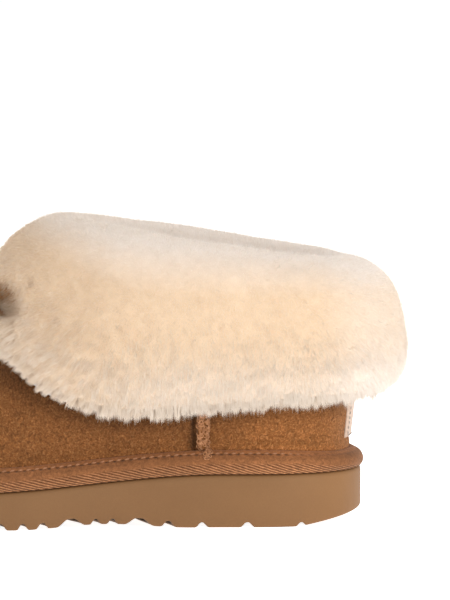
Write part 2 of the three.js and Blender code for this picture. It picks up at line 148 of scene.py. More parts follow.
def make_piece(name, points, faces, material, uv=None):
    """A smooth piece from points in millimetres and faces of three corners, with UV layers by points."""
    keep = (faces[:, 0] != faces[:, 1]) & (faces[:, 1] != faces[:, 2]) & (faces[:, 0] != faces[:, 2])
    faces = faces[keep].astype(np.int32)
    mesh = bpy.data.meshes.new(name)
    mesh.vertices.add(len(points))
    mesh.vertices.foreach_set("co", (points * MM + HEEL_PLACE).astype(np.float32).ravel())
    mesh.loops.add(faces.size)
    mesh.loops.foreach_set("vertex_index", faces.ravel())
    mesh.polygons.add(len(faces))
    mesh.polygons.foreach_set("loop_start", np.arange(0, faces.size, 3, dtype=np.int32))
    for layer, at_points in (uv or {}).items():
        made = mesh.uv_layers.new(name=layer)
        made.uv.foreach_set("vector", at_points[faces.ravel()].astype(np.float32).ravel())
    mesh.update(calc_edges=True)
    mesh.shade_smooth()
    mesh.materials.append(material)
    piece = bpy.data.objects.new(name, mesh)
    bpy.context.scene.collection.objects.link(piece)
    return piece


def band_faces(rows, columns, closed_rows=False, closed_columns=True):
    """Faces of a grid of points, rows going up the outside and columns going round with u."""
    row_ends = rows if closed_rows else rows - 1
    column_ends = columns if closed_columns else columns - 1
    j, i = np.meshgrid(np.arange(row_ends), np.arange(column_ends), indexing="ij")
    a, b = j * columns + i, j * columns + (i + 1) % columns
    up = ((j + 1) % rows - j) * columns
    c, d = b + up, a + up
    return np.concatenate([np.stack(f, -1).reshape(-1, 3) for f in ((a, d, c), (a, c, b))])


def new_finish(name, roughness, sheen=0.0, sheen_tint=(1, 1, 1), specular=0.3):
    """A material with one Principled shader, and its node tree."""
    material = bpy.data.materials.new(name)
    material.use_nodes = True
    tree = material.node_tree
    shader = tree.nodes["Principled BSDF"]
    shader.inputs["Roughness"].default_value = roughness
    shader.inputs["Specular IOR Level"].default_value = specular
    shader.inputs["Sheen Weight"].default_value = sheen
    shader.inputs["Sheen Roughness"].default_value = 0.45
    shader.inputs["Sheen Tint"].default_value = (*sheen_tint, 1)
    return material, tree, shader


def noise(tree, scale, detail=3.0, rough=0.55, curl=0.0):
    """A noise texture on the piece's own coordinates; scale is in features to the metre."""
    place = tree.nodes.new("ShaderNodeTexCoord")
    texture = tree.nodes.new("ShaderNodeTexNoise")
    texture.inputs["Scale"].default_value = scale
    texture.inputs["Detail"].default_value = detail
    texture.inputs["Roughness"].default_value = rough
    texture.inputs["Distortion"].default_value = curl
    tree.links.new(place.outputs["Object"], texture.inputs["Vector"])
    return texture.outputs["Fac"]


def colour_ramp(tree, value, stops):
    """Colours along a value from 0 to 1; each stop is a position and a linear colour."""
    ramp = tree.nodes.new("ShaderNodeValToRGB")
    made = ramp.color_ramp.elements
    for index, (position, colour) in ((0, stops[0]), (1, stops[-1])):
        made[index].position = position
        made[index].color = (*colour, 1)
    for position, colour in stops[1:-1]:
        made.new(position).color = (*colour, 1)
    tree.links.new(value, ramp.inputs["Fac"])
    return ramp.outputs["Color"]


def grey_ramp(tree, value, stops):
    """Greys along a value from 0 to 1; each stop is a position and a grey."""
    return colour_ramp(tree, value, [(position, (grey, grey, grey)) for position, grey in stops])


def ranged(tree, value, low, high):
    """A value from 0 to 1, made to run from low to high."""
    spread = tree.nodes.new("ShaderNodeMapRange")
    spread.inputs["To Min"].default_value = low
    spread.inputs["To Max"].default_value = high
    tree.links.new(value, spread.inputs["Value"])
    return spread.outputs["Result"]


def shade_by(tree, colour, value, low, high):
    """A colour made darker or lighter where a value from 0 to 1 is low or high."""
    mixed = tree.nodes.new("ShaderNodeMix")
    mixed.data_type, mixed.blend_type = "RGBA", "MULTIPLY"
    mixed.inputs["Factor"].default_value = 1
    tree.links.new(colour, mixed.inputs["A"])
    tree.links.new(ranged(tree, value, low, high), mixed.inputs["B"])
    return mixed.outputs["Result"]


def uv_parts(tree, layer):
    """The two values of one of the piece's UV layers."""
    place = tree.nodes.new("ShaderNodeUVMap")
    place.uv_map = layer
    parts = tree.nodes.new("ShaderNodeSeparateXYZ")
    tree.links.new(place.outputs["UV"], parts.inputs["Vector"])
    return parts.outputs["X"], parts.outputs["Y"]


def add_bump(tree, shader, height, depth, strength=1.0, below=None):
    """Relief of a depth in metres on a shader, over any relief that lies below it."""
    bump = tree.nodes.new("ShaderNodeBump")
    bump.inputs["Strength"].default_value = strength
    bump.inputs["Distance"].default_value = depth
    tree.links.new(height, bump.inputs["Height"])
    if below is not None:
        tree.links.new(below, bump.inputs["Normal"])
    tree.links.new(bump.outputs["Normal"], shader.inputs["Normal"])
    return bump.outputs["Normal"]


def spanned(ring, ring_start, across, height, start):
    """Points and faces that close a ring from its outer to its inner side, at heights from a function."""
    half = len(ring) // 2
    inner_side = -np.arange(half + 1) % len(ring)
    share = np.linspace(0, 1, across + 1)[None, :, None]
    outer, inner = ring[: half + 1], ring[inner_side]
    grid = outer[:, None] + (inner - outer)[:, None] * share
    grid[..., 2] = height(grid[..., 0], grid[..., 1])
    index = start + np.arange((half + 1) * (across + 1)).reshape(half + 1, -1)
    index[:, 0] = ring_start + np.arange(half + 1)
    index[:, -1] = ring_start + inner_side
    index[0, :], index[-1, :] = index[0, 0], index[-1, 0]
    a, b, c, d = index[:-1, :-1], index[1:, :-1], index[1:, 1:], index[:-1, 1:]
    span = np.concatenate([np.stack(f, -1).reshape(-1, 3) for f in ((a, b, c), (a, c, d))])
    return grid.reshape(-1, 3), span


def closed_body(rings, under, over):
    """A side of rings, closed by grids under and over it: how many steps across, and their heights.
    The points come as three lists, of the side and of the two grids."""
    around = len(rings[0])
    points = [np.concatenate(rings)]
    faces = [band_faces(len(rings), around)]
    for ring, (across, height), turn in ((0, under, 1), (len(rings) - 1, over, -1)):
        start = sum(len(part) for part in points)
        grid, span = spanned(rings[ring], ring * around, across, height, start)
        points.append(grid)
        faces.append(span[:, ::turn])
    return points, np.concatenate(faces)


def drop_unused(points, faces):
    """The same mesh without points that no face uses."""
    used, fresh = np.unique(faces, return_inverse=True)
    return points[used], fresh.reshape(faces.shape)


def outsole_mesh():
    """The sole's side, its tread as a grid from side to side, its plain top and a UV of painted shade in
    the grooves.
    """
    turns = np.arange(SOLE_AROUND) / SOLE_AROUND
    rings = []
    for inset, above in SOLE_LOWER:
        x, y = outline_at(turns, -inset).T
        rings.append(np.stack([x, y, tread(x, y) + above], -1))
    for inset, below in SOLE_UPPER:
        x, y = outline_at(turns, -inset).T
        rings.append(np.stack([x, y, sole_top(x) - below], -1))
    parts, faces = closed_body(rings, (SOLE_ACROSS, tread), (TOP_ACROSS, lambda x, y: sole_top(x)))
    side, under, over = parts
    groove = smooth_step(under[:, 2] - sole_bottom(under[:, 0]), *GROOVE_SHADE)
    shaded = np.concatenate([np.zeros(len(side)), groove, np.zeros(len(over))])
    made, faces = drop_unused(np.column_stack([np.concatenate(parts), shaded]), faces)
    return made[:, :3], faces, made[:, [3, 3]]


def along_boot(tree, stops):
    """A grey that follows stops along the boot, at shares of the sole's length from the heel."""
    place = tree.nodes.new("ShaderNodeTexCoord")
    parts = tree.nodes.new("ShaderNodeSeparateXYZ")
    tree.links.new(place.outputs["Object"], parts.inputs["Vector"])
    share = tree.nodes.new("ShaderNodeMath")
    share.operation = "MULTIPLY_ADD"
    tree.links.new(parts.outputs["X"], share.inputs[0])
    share.inputs[1].default_value = 1 / (SOLE_LENGTH * MM)
    share.inputs[2].default_value = -HEEL_PLACE[0] / (SOLE_LENGTH * MM)
    return grey_ramp(tree, share.outputs["Value"], stops)


def foam_finish():
    material, tree, shader = new_finish("sole_foam", 0.62, specular=0.25)
    tans = [(0.3, (0.166, 0.080, 0.029)), (0.7, (0.183, 0.090, 0.0335))]
    tan = colour_ramp(tree, noise(tree, 26, 4), tans)
    # Painted light: the foam is painted lighter towards the heel, where the lamp falls.
    tan = shade_by(tree, tan, along_boot(tree, [(0.04, 1), (0.13, 0.35), (0.3, 0)]), 1, 1.25)
    grain = noise(tree, 1500, 2)
    tan = shade_by(tree, tan, grain, 0.93, 1.07)
    # Painted shade: the tread's grooves are painted nearly black and lose their gloss, as shadow in the
    # recesses.
    groove, _ = uv_parts(tree, "groove")
    tan = shade_by(tree, tan, groove, 1, 0.07)
    gloss = shader.inputs["Specular IOR Level"]
    tree.links.new(ranged(tree, groove, gloss.default_value, 0), gloss)
    tree.links.new(tan, shader.inputs["Base Color"])
    add_bump(tree, shader, grain, 0.00022, 0.35)
    return material


sole_points, sole_faces, sole_groove_painted_shade = outsole_mesh()
outsole = make_piece("moulded_outsole", sole_points, sole_faces, foam_finish(), {"groove": sole_groove_painted_shade})
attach(outsole, "root")
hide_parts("outsole")

# Insole
# A foam footbed covered in clipped fleece. It is cut to the inside of the upper and lies loose on the
# sole's top, and the foot rests on it.
INSOLE_INSET, INSOLE_GAP, INSOLE_THICKNESS = 10.8, 0.3, 6
INSOLE_AROUND, INSOLE_ACROSS = 280, 30
INSOLE_EDGE = [(1.5, 0), (0.5, 0.5), (0, 1.6), (0, 4.2), (0.45, 5.3), (1.6, 5.9)]
FLEECE_SUNK, FLEECE_LUMPS = 0.35, [(0.3, 3.4), (0.15, 1.7)]
# Waves that make soft lumps: the way they run and where they start
LUMP_WAVES = [
    (1.0, 0.2, 0.4, 0.3), (-0.5, 0.9, 0.3, 1.9), (0.3, -0.6, 1.0, 4.1),
    (0.8, 0.7, -0.6, 2.6), (-0.9, 0.4, 0.8, 5.2),
]


def lumps(points, size):
    """Soft unevenness from -1 to 1, from waves that cross at odd angles; size is about one lump across."""
    total = np.zeros(points.shape[:-1])
    for *way, start in LUMP_WAVES:
        reach = points @ np.array(way) * 2 * np.pi / (2 * size)
        total = total + np.sin(reach + start + 1.3 * np.sin(0.37 * reach + 2 * start))
    return total / len(LUMP_WAVES)


def insole_mesh():
    turns = np.arange(INSOLE_AROUND) / INSOLE_AROUND
    rings = []
    for inset, height in INSOLE_EDGE:
        x, y = outline_at(turns, -INSOLE_INSET - inset).T
        rings.append(np.stack([x, y, sole_top(x) + INSOLE_GAP + height], -1))

    def fleece_top(x, y):
        flat = np.stack([x, y, 0 * x], -1)
        uneven = sum(deep * lumps(flat, size) for deep, size in FLEECE_LUMPS)
        return sole_top(x) + INSOLE_GAP + INSOLE_THICKNESS - FLEECE_SUNK + uneven

    base = (INSOLE_ACROSS, lambda x, y: sole_top(x) + INSOLE_GAP)
    parts, faces = closed_body(rings, base, (INSOLE_ACROSS, fleece_top))
    return drop_unused(np.concatenate(parts), faces)


def fleece_finish():
    cream_sheen = (1, 0.93, 0.85)
    material, tree, shader = new_finish("cream_fleece", 1.0, 0.3, cream_sheen, specular=0.05)
    curl = noise(tree, 620, 3, 0.6)
    cream = colour_ramp(tree, curl, [(0.32, (0.62, 0.44, 0.27)), (0.62, (0.84, 0.68, 0.49))])
    tree.links.new(cream, shader.inputs["Base Color"])
    add_bump(tree, shader, curl, 0.0016, 0.8)
    return material


fleece = fleece_finish()
insole = make_piece("fleece_insole", *insole_mesh(), fleece)
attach(insole, "root")
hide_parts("insole")

# Upper
# Suede sheepskin, nap side out, cut as a vamp and two quarters and pulled over the last. Its lower edge
# is caught in the binding and its top edge lies inside the turned-down cuff.
WALL, GAP, FEATHER_INSET = 3, 0.3, 7
COLLAR_BACK, COLLAR_FRONT, COLLAR_HALF_WIDTH = 5, 132, 37
COLLAR_BACK_HEIGHT, COLLAR_FRONT_HEIGHT = 100, 119
UPPER_AROUND, UPPER_ROWS, WALL_ROWS = 400, 56, 6
OUTER_FACE, INNER_FACE = (0.02, 0.48), (0.98, 0.52)

# The line over the last at each station, heel to toe: turn round the collar, rise and lean out of the
# sole, flare and drop from the collar, and over it the cuff's hem height and pile
LAST = [
    (0, 30, 3, 4.4, 36, 56, 25), (30, 30, 2.6, 3.4, 36, 54.5, 25), (56, 30, 1.8, 1.4, 36, 53, 24.5),
    (86, 30, 2, 1, 36, 51, 24), (112, 32, 3, 8, 42, 49, 24), (131, 35, 4.5, 18, 50, 57.5, 26),
    (146, 38, 5, 26, 57, 69, 30), (158, 40, 5, 31, 62, 75, 31), (169, 41, 5, 35, 65, 79, 31),
    (180, 42, 5, 36, 66, 80, 31),
]
TURN, RISE, LEAN, FLARE, DROP, HEM, PILE = range(7)
LAST_ROUND = np.array(LAST + [(360 - row[TURN], *row[1:]) for row in LAST[-2:0:-1]], float)
LAST_ROUND[:, TURN] -= 360 * np.arange(len(LAST_ROUND)) / len(LAST_ROUND)

# Soft creases: place along the boot, height, half-widths along and up, slope and depth
CREASES = [
    (120, 40, 3.5, 11, 0.5, 0.5), (134, 38, 4, 12, 0.55, 0.5),
    (24, 40, 9, 2.2, 0, 0.45), (44, 38, 12, 2, 0, 0.35),
]
RIDGE_SHARE, RIDGE_BESIDE, SLUMP = 0.5, 1.7, 0.28

# Beside each side seam the vamp dips in a narrow fold: place along the boot, half-width, depth and
# heights. Painted shade darkens the fold and spreads on its toe side, and a painted shadow lies under the
# hem of the cuff.
FOLD_X, FOLD_HALF, FOLD_DEPTH, FOLD_HEIGHTS = 73.7, 1.3, 1.5, (29, 33, 64, 70)
FOLD_SPREAD, FOLD_LOOK_HEIGHT, FOLD_FINE, FOLD_SPAN = 2.2, 46.0, 34, 0.009
HEM_SHADE, HEM_SHADE_START, HEM_SHADE_REACH = 0.7, 2, 5

# Over the binding, which is lower round the heel, the suede puffs out and painted light lifts the shade at
# its edge
BINDING_HEEL, BINDING_LEVELS_OUT = 0.78, (0, 45)
PUFF, HEEL_PUFF, PUFF_HEEL, PUFF_HEIGHT, PUFF_HALF = 0.5, 0.8, (2, 40), 11.5, 3.2
PAINTED_LIGHT_HEIGHT, PAINTED_LIGHT_REACH = 10, 2.8


def last_values(u):
    """The columns of LAST at u, the last axis; the turn goes on growing round the boot."""
    found = closed_spline(LAST_ROUND, u)
    found[..., TURN] += 360 * np.mod(u, 1.0)
    return found


def collar_point(u):
    turn = np.radians(last_values(u)[..., TURN])
    half = (COLLAR_FRONT - COLLAR_BACK) / 2
    back = (1 - np.cos(turn)) / 2
    height = COLLAR_BACK_HEIGHT + (COLLAR_FRONT_HEIGHT - COLLAR_BACK_HEIGHT) * back
    return np.stack([COLLAR_BACK + 2 * half * back, COLLAR_HALF_WIDTH * np.sin(turn), height], -1)


def upper_point(u, t):
    """The upper's outer face: a line at u from the sole, at t = 0, to the collar edge, at t = 1."""
    u, t = np.broadcast_arrays(np.asarray(u, float), np.asarray(t, float))
    values = last_values(u)
    turn = np.radians(values[..., TURN])
    collar = collar_point(u)
    foot = outline_at(u, -FEATHER_INSET)
    leaning = outline_at(u, values[..., LEAN] - FEATHER_INSET)
    floor = sole_top(foot[..., 0]) + GAP
    first = np.concatenate([foot, floor[..., None]], -1)
    second = np.concatenate([leaning, (floor + values[..., RISE])[..., None]], -1)
    outward = np.stack([-np.cos(turn), np.sin(turn), np.zeros_like(turn)], -1)
    third = collar + outward * values[..., FLARE, None]
    third[..., 2] -= values[..., DROP]
    t = t[..., None]
    low = (1 - t) ** 3 * first + 3 * (1 - t) ** 2 * t * second
    return low + 3 * (1 - t) * t * t * third + t**3 * collar


def unit(vectors):
    return vectors / np.maximum(np.linalg.norm(vectors, axis=-1, keepdims=True), 1e-9)


def upper_normal(u, t):
    """The way out of the upper, level with the floor along its lower edge."""
    u, t = np.broadcast_arrays(np.asarray(u, float), np.asarray(t, float))
    round_ = upper_point(u + TURN_STEP, t) - upper_point(u - TURN_STEP, t)
    rising = upper_point(u, np.minimum(1, t + TURN_STEP)) - upper_point(u, np.maximum(0, t - TURN_STEP))
    normal = np.cross(rising, round_)
    normal[..., 2] = np.where(t == 0, 0, normal[..., 2])
    return unit(normal)


def halved(low, high, steps, is_under):
    """Where a value passes its mark between low and high, by halving what lies between them."""
    for _ in range(steps):
        middle = (low + high) / 2
        under = is_under(middle)
        low, high = np.where(under, middle, low), np.where(under, high, middle)
    return (low + high) / 2


def row_at_height(u, height):
    """t where the line at u reaches a height."""
    return halved(np.zeros_like(u), np.ones_like(u), 26, lambda t: upper_point(u, t)[..., 2] < height)


def bell(value, middle, half):
    """1 in the middle, falling softly to either side."""
    return np.exp(-(((value - middle) / half) ** 2))


def fold_share(points):
    x, z = points[..., 0], points[..., 2]
    foot, full, top, end = FOLD_HEIGHTS
    return bell(x, FOLD_X, FOLD_HALF) * smooth_step(z, foot, full) * (1 - smooth_step(z, top, end))


def painted_suede_shade(points, turns):
    """Painted shade on the suede: in the fold, softly on its toe side, and a painted shadow under the
    cuff's hem.
    """
    x, z = points[..., 0], points[..., 2]
    foot, full = FOLD_HEIGHTS[:2]
    half = np.where(x < FOLD_X, FOLD_HALF, FOLD_SPREAD * FOLD_HALF)
    fold = bell(x, FOLD_X, half) * smooth_step(z, foot - 2, full + 3)
    below = np.maximum(0, last_values(turns)[..., HEM] - HEM_SHADE_START - z)
    return np.maximum(fold, HEM_SHADE * bell(below, 0, HEM_SHADE_REACH))


def binding_scale(x):
    """The binding's height along the boot, as a share of that at the sides: lower round the heel."""
    return BINDING_HEEL + (1 - BINDING_HEEL) * smooth_step(x, *BINDING_LEVELS_OUT)


def over_binding(points, height):
    """How high points of the suede lie over a height of the binding."""
    x, z = points[..., 0], points[..., 2]
    return z - sole_top(x) - GAP - height * binding_scale(x)


def swelling(points):
    """How far the suede puffs out just over the binding, most of all at the heel."""
    puff = PUFF + HEEL_PUFF * (1 - smooth_step(points[..., 0], *PUFF_HEEL))
    return puff * bell(over_binding(points, PUFF_HEIGHT), 0, PUFF_HALF)


def upper_turns():
    """Even turns round the boot, with more of them where the two folds run."""
    even = np.arange(UPPER_AROUND) / UPPER_AROUND
    near = np.linspace(-FOLD_SPAN, FOLD_SPAN, FOLD_FINE)
    folds = []
    for face in (OUTER_FACE, INNER_FACE):
        u = np.linspace(*face, 900)
        x = upper_point(u, row_at_height(u, FOLD_LOOK_HEIGHT))[..., 0]
        folds.append(np.interp(FOLD_X, x, u) + near)
    return np.unique(np.concatenate([even, *folds]))


def creased(points):
    """How far the suede lies below its smooth line: soft troughs, each with a low ridge beside it."""
    x, z = points[..., 0], points[..., 2]
    depth = np.zeros_like(x)
    for along, height, wide, tall, slope, deep in CREASES:
        across = (x - along - slope * (z - height)) / wide
        trough = bell(across, 0, 1) - RIDGE_SHARE * bell(across, RIDGE_BESIDE, 1)
        depth += deep * trough * bell(z, height, tall)
    slump = SLUMP * np.sin(x / 23 + z / 15) * np.sin(z / 19 - x / 41)
    return depth + slump + FOLD_DEPTH * fold_share(points)


def upper_mesh():
    turns = upper_turns()
    rows = np.linspace(0, 1, UPPER_ROWS)[:, None] ** 1.1
    face = upper_point(turns[None], rows)
    normal = upper_normal(turns[None], rows)
    hold = smooth_step(rows, 0.02, 0.1)[..., None]
    outer = face + normal * (swelling(face) - creased(face))[..., None] * hold
    within = np.linspace(1, 0, WALL_ROWS)[:, None]
    inner = upper_point(turns[None], within) - upper_normal(turns[None], within) * WALL
    rings = np.concatenate([outer, inner])
    # Painted light on the suede's edge over the binding, against the shade in that corner, and painted
    # shade from the folds and the hem.
    painted_light = 1 - smooth_step(over_binding(face, PAINTED_LIGHT_HEIGHT), 0, PAINTED_LIGHT_REACH)
    painted_shade_and_light_uv = np.stack([painted_suede_shade(face, turns), painted_light], -1)
    painted_shade_and_light_uv = np.concatenate([painted_shade_and_light_uv, np.zeros((*inner.shape[:2], 2))]).reshape(-1, 2)
    return rings.reshape(-1, 3), band_faces(len(rings), len(turns), closed_rows=True), painted_shade_and_light_uv


def suede_finish():
    material, tree, shader = new_finish("chestnut_suede", 0.95, 0.22, (1, 0.72, 0.5), specular=0.12)
    nap = noise(tree, 1150, 4, 0.7)
    brown = colour_ramp(tree, nap, [
        (0.3, (0.09, 0.031, 0.0085)), (0.46, (0.152, 0.056, 0.016)),
        (0.56, (0.18, 0.071, 0.022)), (0.72, (0.27, 0.123, 0.046)),
    ])
    curl_lines = [(0.36, 0.2), (0.46, 0.3), (0.5, 1), (0.54, 0.3), (0.64, 0)]
    curls = grey_ramp(tree, noise(tree, 270, 2, 0.5, curl=2.0), curl_lines)
    brown = shade_by(tree, brown, curls, 0.8, 1.65)
    brown = shade_by(tree, brown, noise(tree, 48, 4), 0.79, 1.07)
    # Painted light: the suede is painted lighter towards the heel, where the lamp falls.
    brown = shade_by(tree, brown, along_boot(tree, [(0, 0.5), (0.1, 1), (0.16, 1), (0.3, 0)]), 1, 1.42)
    # Painted shade in the folds and under the cuff's hem, and painted light over the binding.
    dark, painted_light = uv_parts(tree, "fold")
    brown = shade_by(tree, brown, dark, 1, 0.42)
    brown = shade_by(tree, brown, painted_light, 1, 1.5)
    tree.links.new(brown, shader.inputs["Base Color"])
    under = add_bump(tree, shader, curls, 0.0005, 0.4)
    add_bump(tree, shader, nap, 0.0007, 0.55, under)
    return material


suede = suede_finish()
upper_points, upper_faces, upper_painted_shade_and_light = upper_mesh()
upper = make_piece("suede_upper", upper_points, upper_faces, suede, {"fold": upper_painted_shade_and_light})
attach(upper, "root")
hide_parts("upper")

# Binding
# A roll of brown twill tape that wraps the lower edge of the upper and stands on the rim of the sole. It
# is sewn through near its top edge with a row of thick running stitches.
BINDING_SECTION = [
    (-6.7, 0), (-0.4, 0.05), (0.35, 0.5), (0.9, 1.4), (1.2, 2.7), (1.2, 4), (0.85, 5.6), (0.2, 7.1),
    (-0.7, 8.2), (-1.5, 8.75), (-2, 8.95), (-2.7, 9.5), (-3.6, 10), (-4.5, 10.2), (-5, 10.15), (-5.4, 9.9),
]
BINDING_AROUND, BINDING_FINE, OUTLINE_FINE = 440, 3, 4001
BINDING_TUCK, TUCK_CLIMBS = 9.6, [2.0, 12.0]
TWILL_PITCH, TWILL_LEAN, TWILL_TOP = 1.15, math.radians(19), 5.4
HEEL_WORN, HEEL_WORN_SHARE = 44, 0.11
# Width of the tape, and painted light and shade across its roll at shares of that width
TAPE_WIDTH, TAPE_PAINTED_LIGHT = 16, [(0.3, 0.36), (0.42, 0.36), (0.5, 0.18), (0.62, 0.5), (0.7, 0.9)]
STITCH_PITCH, STITCH_LENGTH, STITCH_RADIUS = 3.6, 1.9, 0.38
STITCH_OUT, STITCH_HEIGHT, STITCH_CLIMB = -1.75, 9.0, 10.4
STITCH_ARCH, STITCH_SLANT, STITCH_STEPS = 0.168, 0.22, 7
STITCH_SUNK, STITCH_SUNK_HEEL = 0.75, (36, 62)
DIMPLE_WIDE, DIMPLE_TALL, DIMPLE_SHADE = 0.8, 0.6, 0.25


def ring_length(u):
    """Distance along the sole's outline from the heel to u."""
    fine = np.linspace(0, 1, OUTLINE_FINE)
    steps = np.linalg.norm(np.diff(closed_spline(OUTLINE, fine), axis=0), axis=1)
    return np.interp(u, fine, np.concatenate([[0], np.cumsum(steps)]))


def binding_point(u, out, height):
    x, y = np.moveaxis(outline_at(u, out), -1, 0)
    return np.stack([x, y, sole_top(x) + GAP + height * binding_scale(x)], -1)


def binding_mesh():
    """The roll, with a UV in millimetres: along the sole's edge and up round the roll's section."""
    section = np.array(BINDING_SECTION)
    fine = np.linspace(1, len(section) - 1, BINDING_FINE * (len(section) - 2) + 1)
    first = np.minimum(fine.astype(int), len(section) - 2)
    beyond = section[np.minimum(first + 2, len(section) - 1)]
    t = (fine - first)[:, None]
    curve = between(section[first - 1], section[first], section[first + 1], beyond, t)
    turns = np.linspace(0, 1, BINDING_AROUND + 1)
    rings = np.stack([binding_point(turns, out, height) for out, height in curve])
    foot = upper_point(turns, 0)
    foot_rows = row_at_height(turns, foot[..., 2] + BINDING_TUCK * binding_scale(foot[..., 0]))
    inner = []
    for t in (foot_rows, 0 * turns):
        face = upper_point(turns, t)
        inner.append(face + upper_normal(turns, t) * (GAP + swelling(face))[..., None])
    rings = np.concatenate([rings, np.stack(inner)])
    climb = np.concatenate([[0], np.cumsum(np.linalg.norm(np.diff(curve, axis=0), axis=1))])
    climb = np.concatenate([climb, climb[-1] + TUCK_CLIMBS])
    along = np.broadcast_to(ring_length(turns), (len(rings), len(turns)))
    uv = np.stack([along, np.broadcast_to(climb[:, None], along.shape)], -1).reshape(-1, 2)
    faces = band_faces(len(rings), len(turns), closed_rows=True, closed_columns=False)
    return rings.reshape(-1, 3), faces, uv


def twill_finish():
    """Diagonal ribs from the tape's own coordinates, in millimetres, in relief and in colour painted as
    shade and highlight.
    """
    material, tree, shader = new_finish("twill_tape", 0.85, 0.15, (1, 0.75, 0.55), specular=0.15)
    along, climb = uv_parts(tree, "tape")

    def math_node(operation, *values):
        node = tree.nodes.new("ShaderNodeMath")
        node.operation = operation
        for socket, value in zip(node.inputs, values):
            if isinstance(value, (int, float)):
                socket.default_value = value
            else:
                tree.links.new(value, socket)
        return node.outputs["Value"]

    def held(value, low):
        return math_node("MINIMUM", math_node("MAXIMUM", value, low), 1)

    turns_a_mm = 2 * math.pi / TWILL_PITCH
    sideways = math_node("MULTIPLY", along, turns_a_mm * math.sin(TWILL_LEAN))
    upward = math_node("MULTIPLY", climb, turns_a_mm * math.cos(TWILL_LEAN))
    waver = math_node("MULTIPLY", noise(tree, 420, 2), 2.4)
    wave = math_node("SINE", math_node("ADD", math_node("SUBTRACT", upward, sideways), waver))
    length = float(ring_length(np.array(1.0)))
    from_heel = math_node("MINIMUM", along, math_node("SUBTRACT", length, along))
    near_heel = math_node("SMOOTH_MAX", math_node("SUBTRACT", HEEL_WORN, from_heel), 0, 8)
    worn = math_node("MULTIPLY", near_heel, HEEL_WORN_SHARE)
    below_top = math_node("SUBTRACT", math_node("SUBTRACT", TWILL_TOP, worn), climb)
    shown = held(math_node("MULTIPLY_ADD", below_top, 0.7, 0.5), 0)
    rib = math_node("MULTIPLY_ADD", math_node("MULTIPLY", wave, shown), 0.5, 0.5)
    # Painted shade and highlight: the gaps between the ribs are painted dark and their crests light.
    brown = colour_ramp(tree, rib, [
        (0.05, (0.115, 0.042, 0.0145)), (0.5, (0.21, 0.083, 0.031)), (0.95, (0.36, 0.162, 0.071)),
    ])
    stitch_length = length / round(length / STITCH_PITCH)
    turned = math_node("FRACT", math_node("ADD", math_node("DIVIDE", along, stitch_length), 0.5))
    beside = math_node("MULTIPLY", math_node("SUBTRACT", turned, 0.5), stitch_length / DIMPLE_WIDE)
    over = math_node("MULTIPLY", math_node("SUBTRACT", climb, STITCH_CLIMB), 1 / DIMPLE_TALL)
    apart = math_node("ADD", math_node("MULTIPLY", beside, beside), math_node("MULTIPLY", over, over))
    dimple = math_node("EXPONENT", math_node("MULTIPLY", apart, -1))
    drawn = held(math_node("MULTIPLY_ADD", from_heel, 1 / 24, -1.5), 0.15)
    dimple = math_node("MULTIPLY", dimple, drawn)
    # Painted shade in the dimples of the stitches.
    brown = shade_by(tree, brown, dimple, 1, DIMPLE_SHADE)
    brown = shade_by(tree, brown, noise(tree, 70, 3), 0.86, 1.14)
    # Painted light and shade: the tape is painted darker at the very back of the heel and lighter just
    # ahead of it, as the lamp falls.
    brown = shade_by(tree, brown, along_boot(tree, [(0.02, 0), (0.1, 1), (0.16, 1), (0.3, 0.4)]), 0.88, 1.2)
    brown = shade_by(tree, brown, noise(tree, 520, 3, 0.6, curl=1.6), 0.15, 1.85)
    # Painted light and shade across the roll: darker on the band below the stitches and lighter at its top
    # edge.
    painted_light = grey_ramp(tree, math_node("MULTIPLY", climb, 1 / TAPE_WIDTH), TAPE_PAINTED_LIGHT)
    brown = shade_by(tree, brown, painted_light, 0.8, 1.35)
    tree.links.new(brown, shader.inputs["Base Color"])
    under = add_bump(tree, shader, noise(tree, 2200, 2), 0.0003, 0.4)
    under = add_bump(tree, shader, dimple, -0.0006, 0.6, under)
    add_bump(tree, shader, rib, 0.0006, 0.8, under)
    return material


def join_parts(parts):
    """One mesh from several lists of points and faces."""
    starts = np.cumsum([0] + [len(points) for points, _ in parts[:-1]])
    points = np.concatenate([points for points, _ in parts])
    faces = np.concatenate([faces + start for (_, faces), start in zip(parts, starts)])
    return points, faces


def end_caps(rows, columns):
    """Faces that close the first and the last row of a tube, as two fans."""
    fan = np.arange(1, columns - 1)
    last = (rows - 1) * columns
    first_fan = np.stack([0 * fan, fan, fan + 1], -1)
    last_fan = np.stack([0 * fan + last, last + fan + 1, last + fan], -1)
    return [first_fan, last_fan]


def thread(path, radius, sides=7):
    """A round thread along a path of points, thinner at its two ends."""
    path = np.asarray(path, float)
    way = unit(np.gradient(path, axis=0))
    aside = unit(np.cross(way, np.array([0.31, 0.22, 0.93])))
    above = np.cross(way, aside)
    angle = 2 * np.pi * np.arange(sides) / sides
    ring = aside[:, None] * np.cos(angle)[None, :, None] + above[:, None] * np.sin(angle)[None, :, None]
    ends = np.sin(np.pi * np.linspace(0.06, 0.94, len(path))) ** 0.45
    points = (path[:, None] + ring * radius * ends[:, None, None]).reshape(-1, 3)
    return points, np.concatenate([band_faces(len(path), sides), *end_caps(len(path), sides)])[:, ::-1]


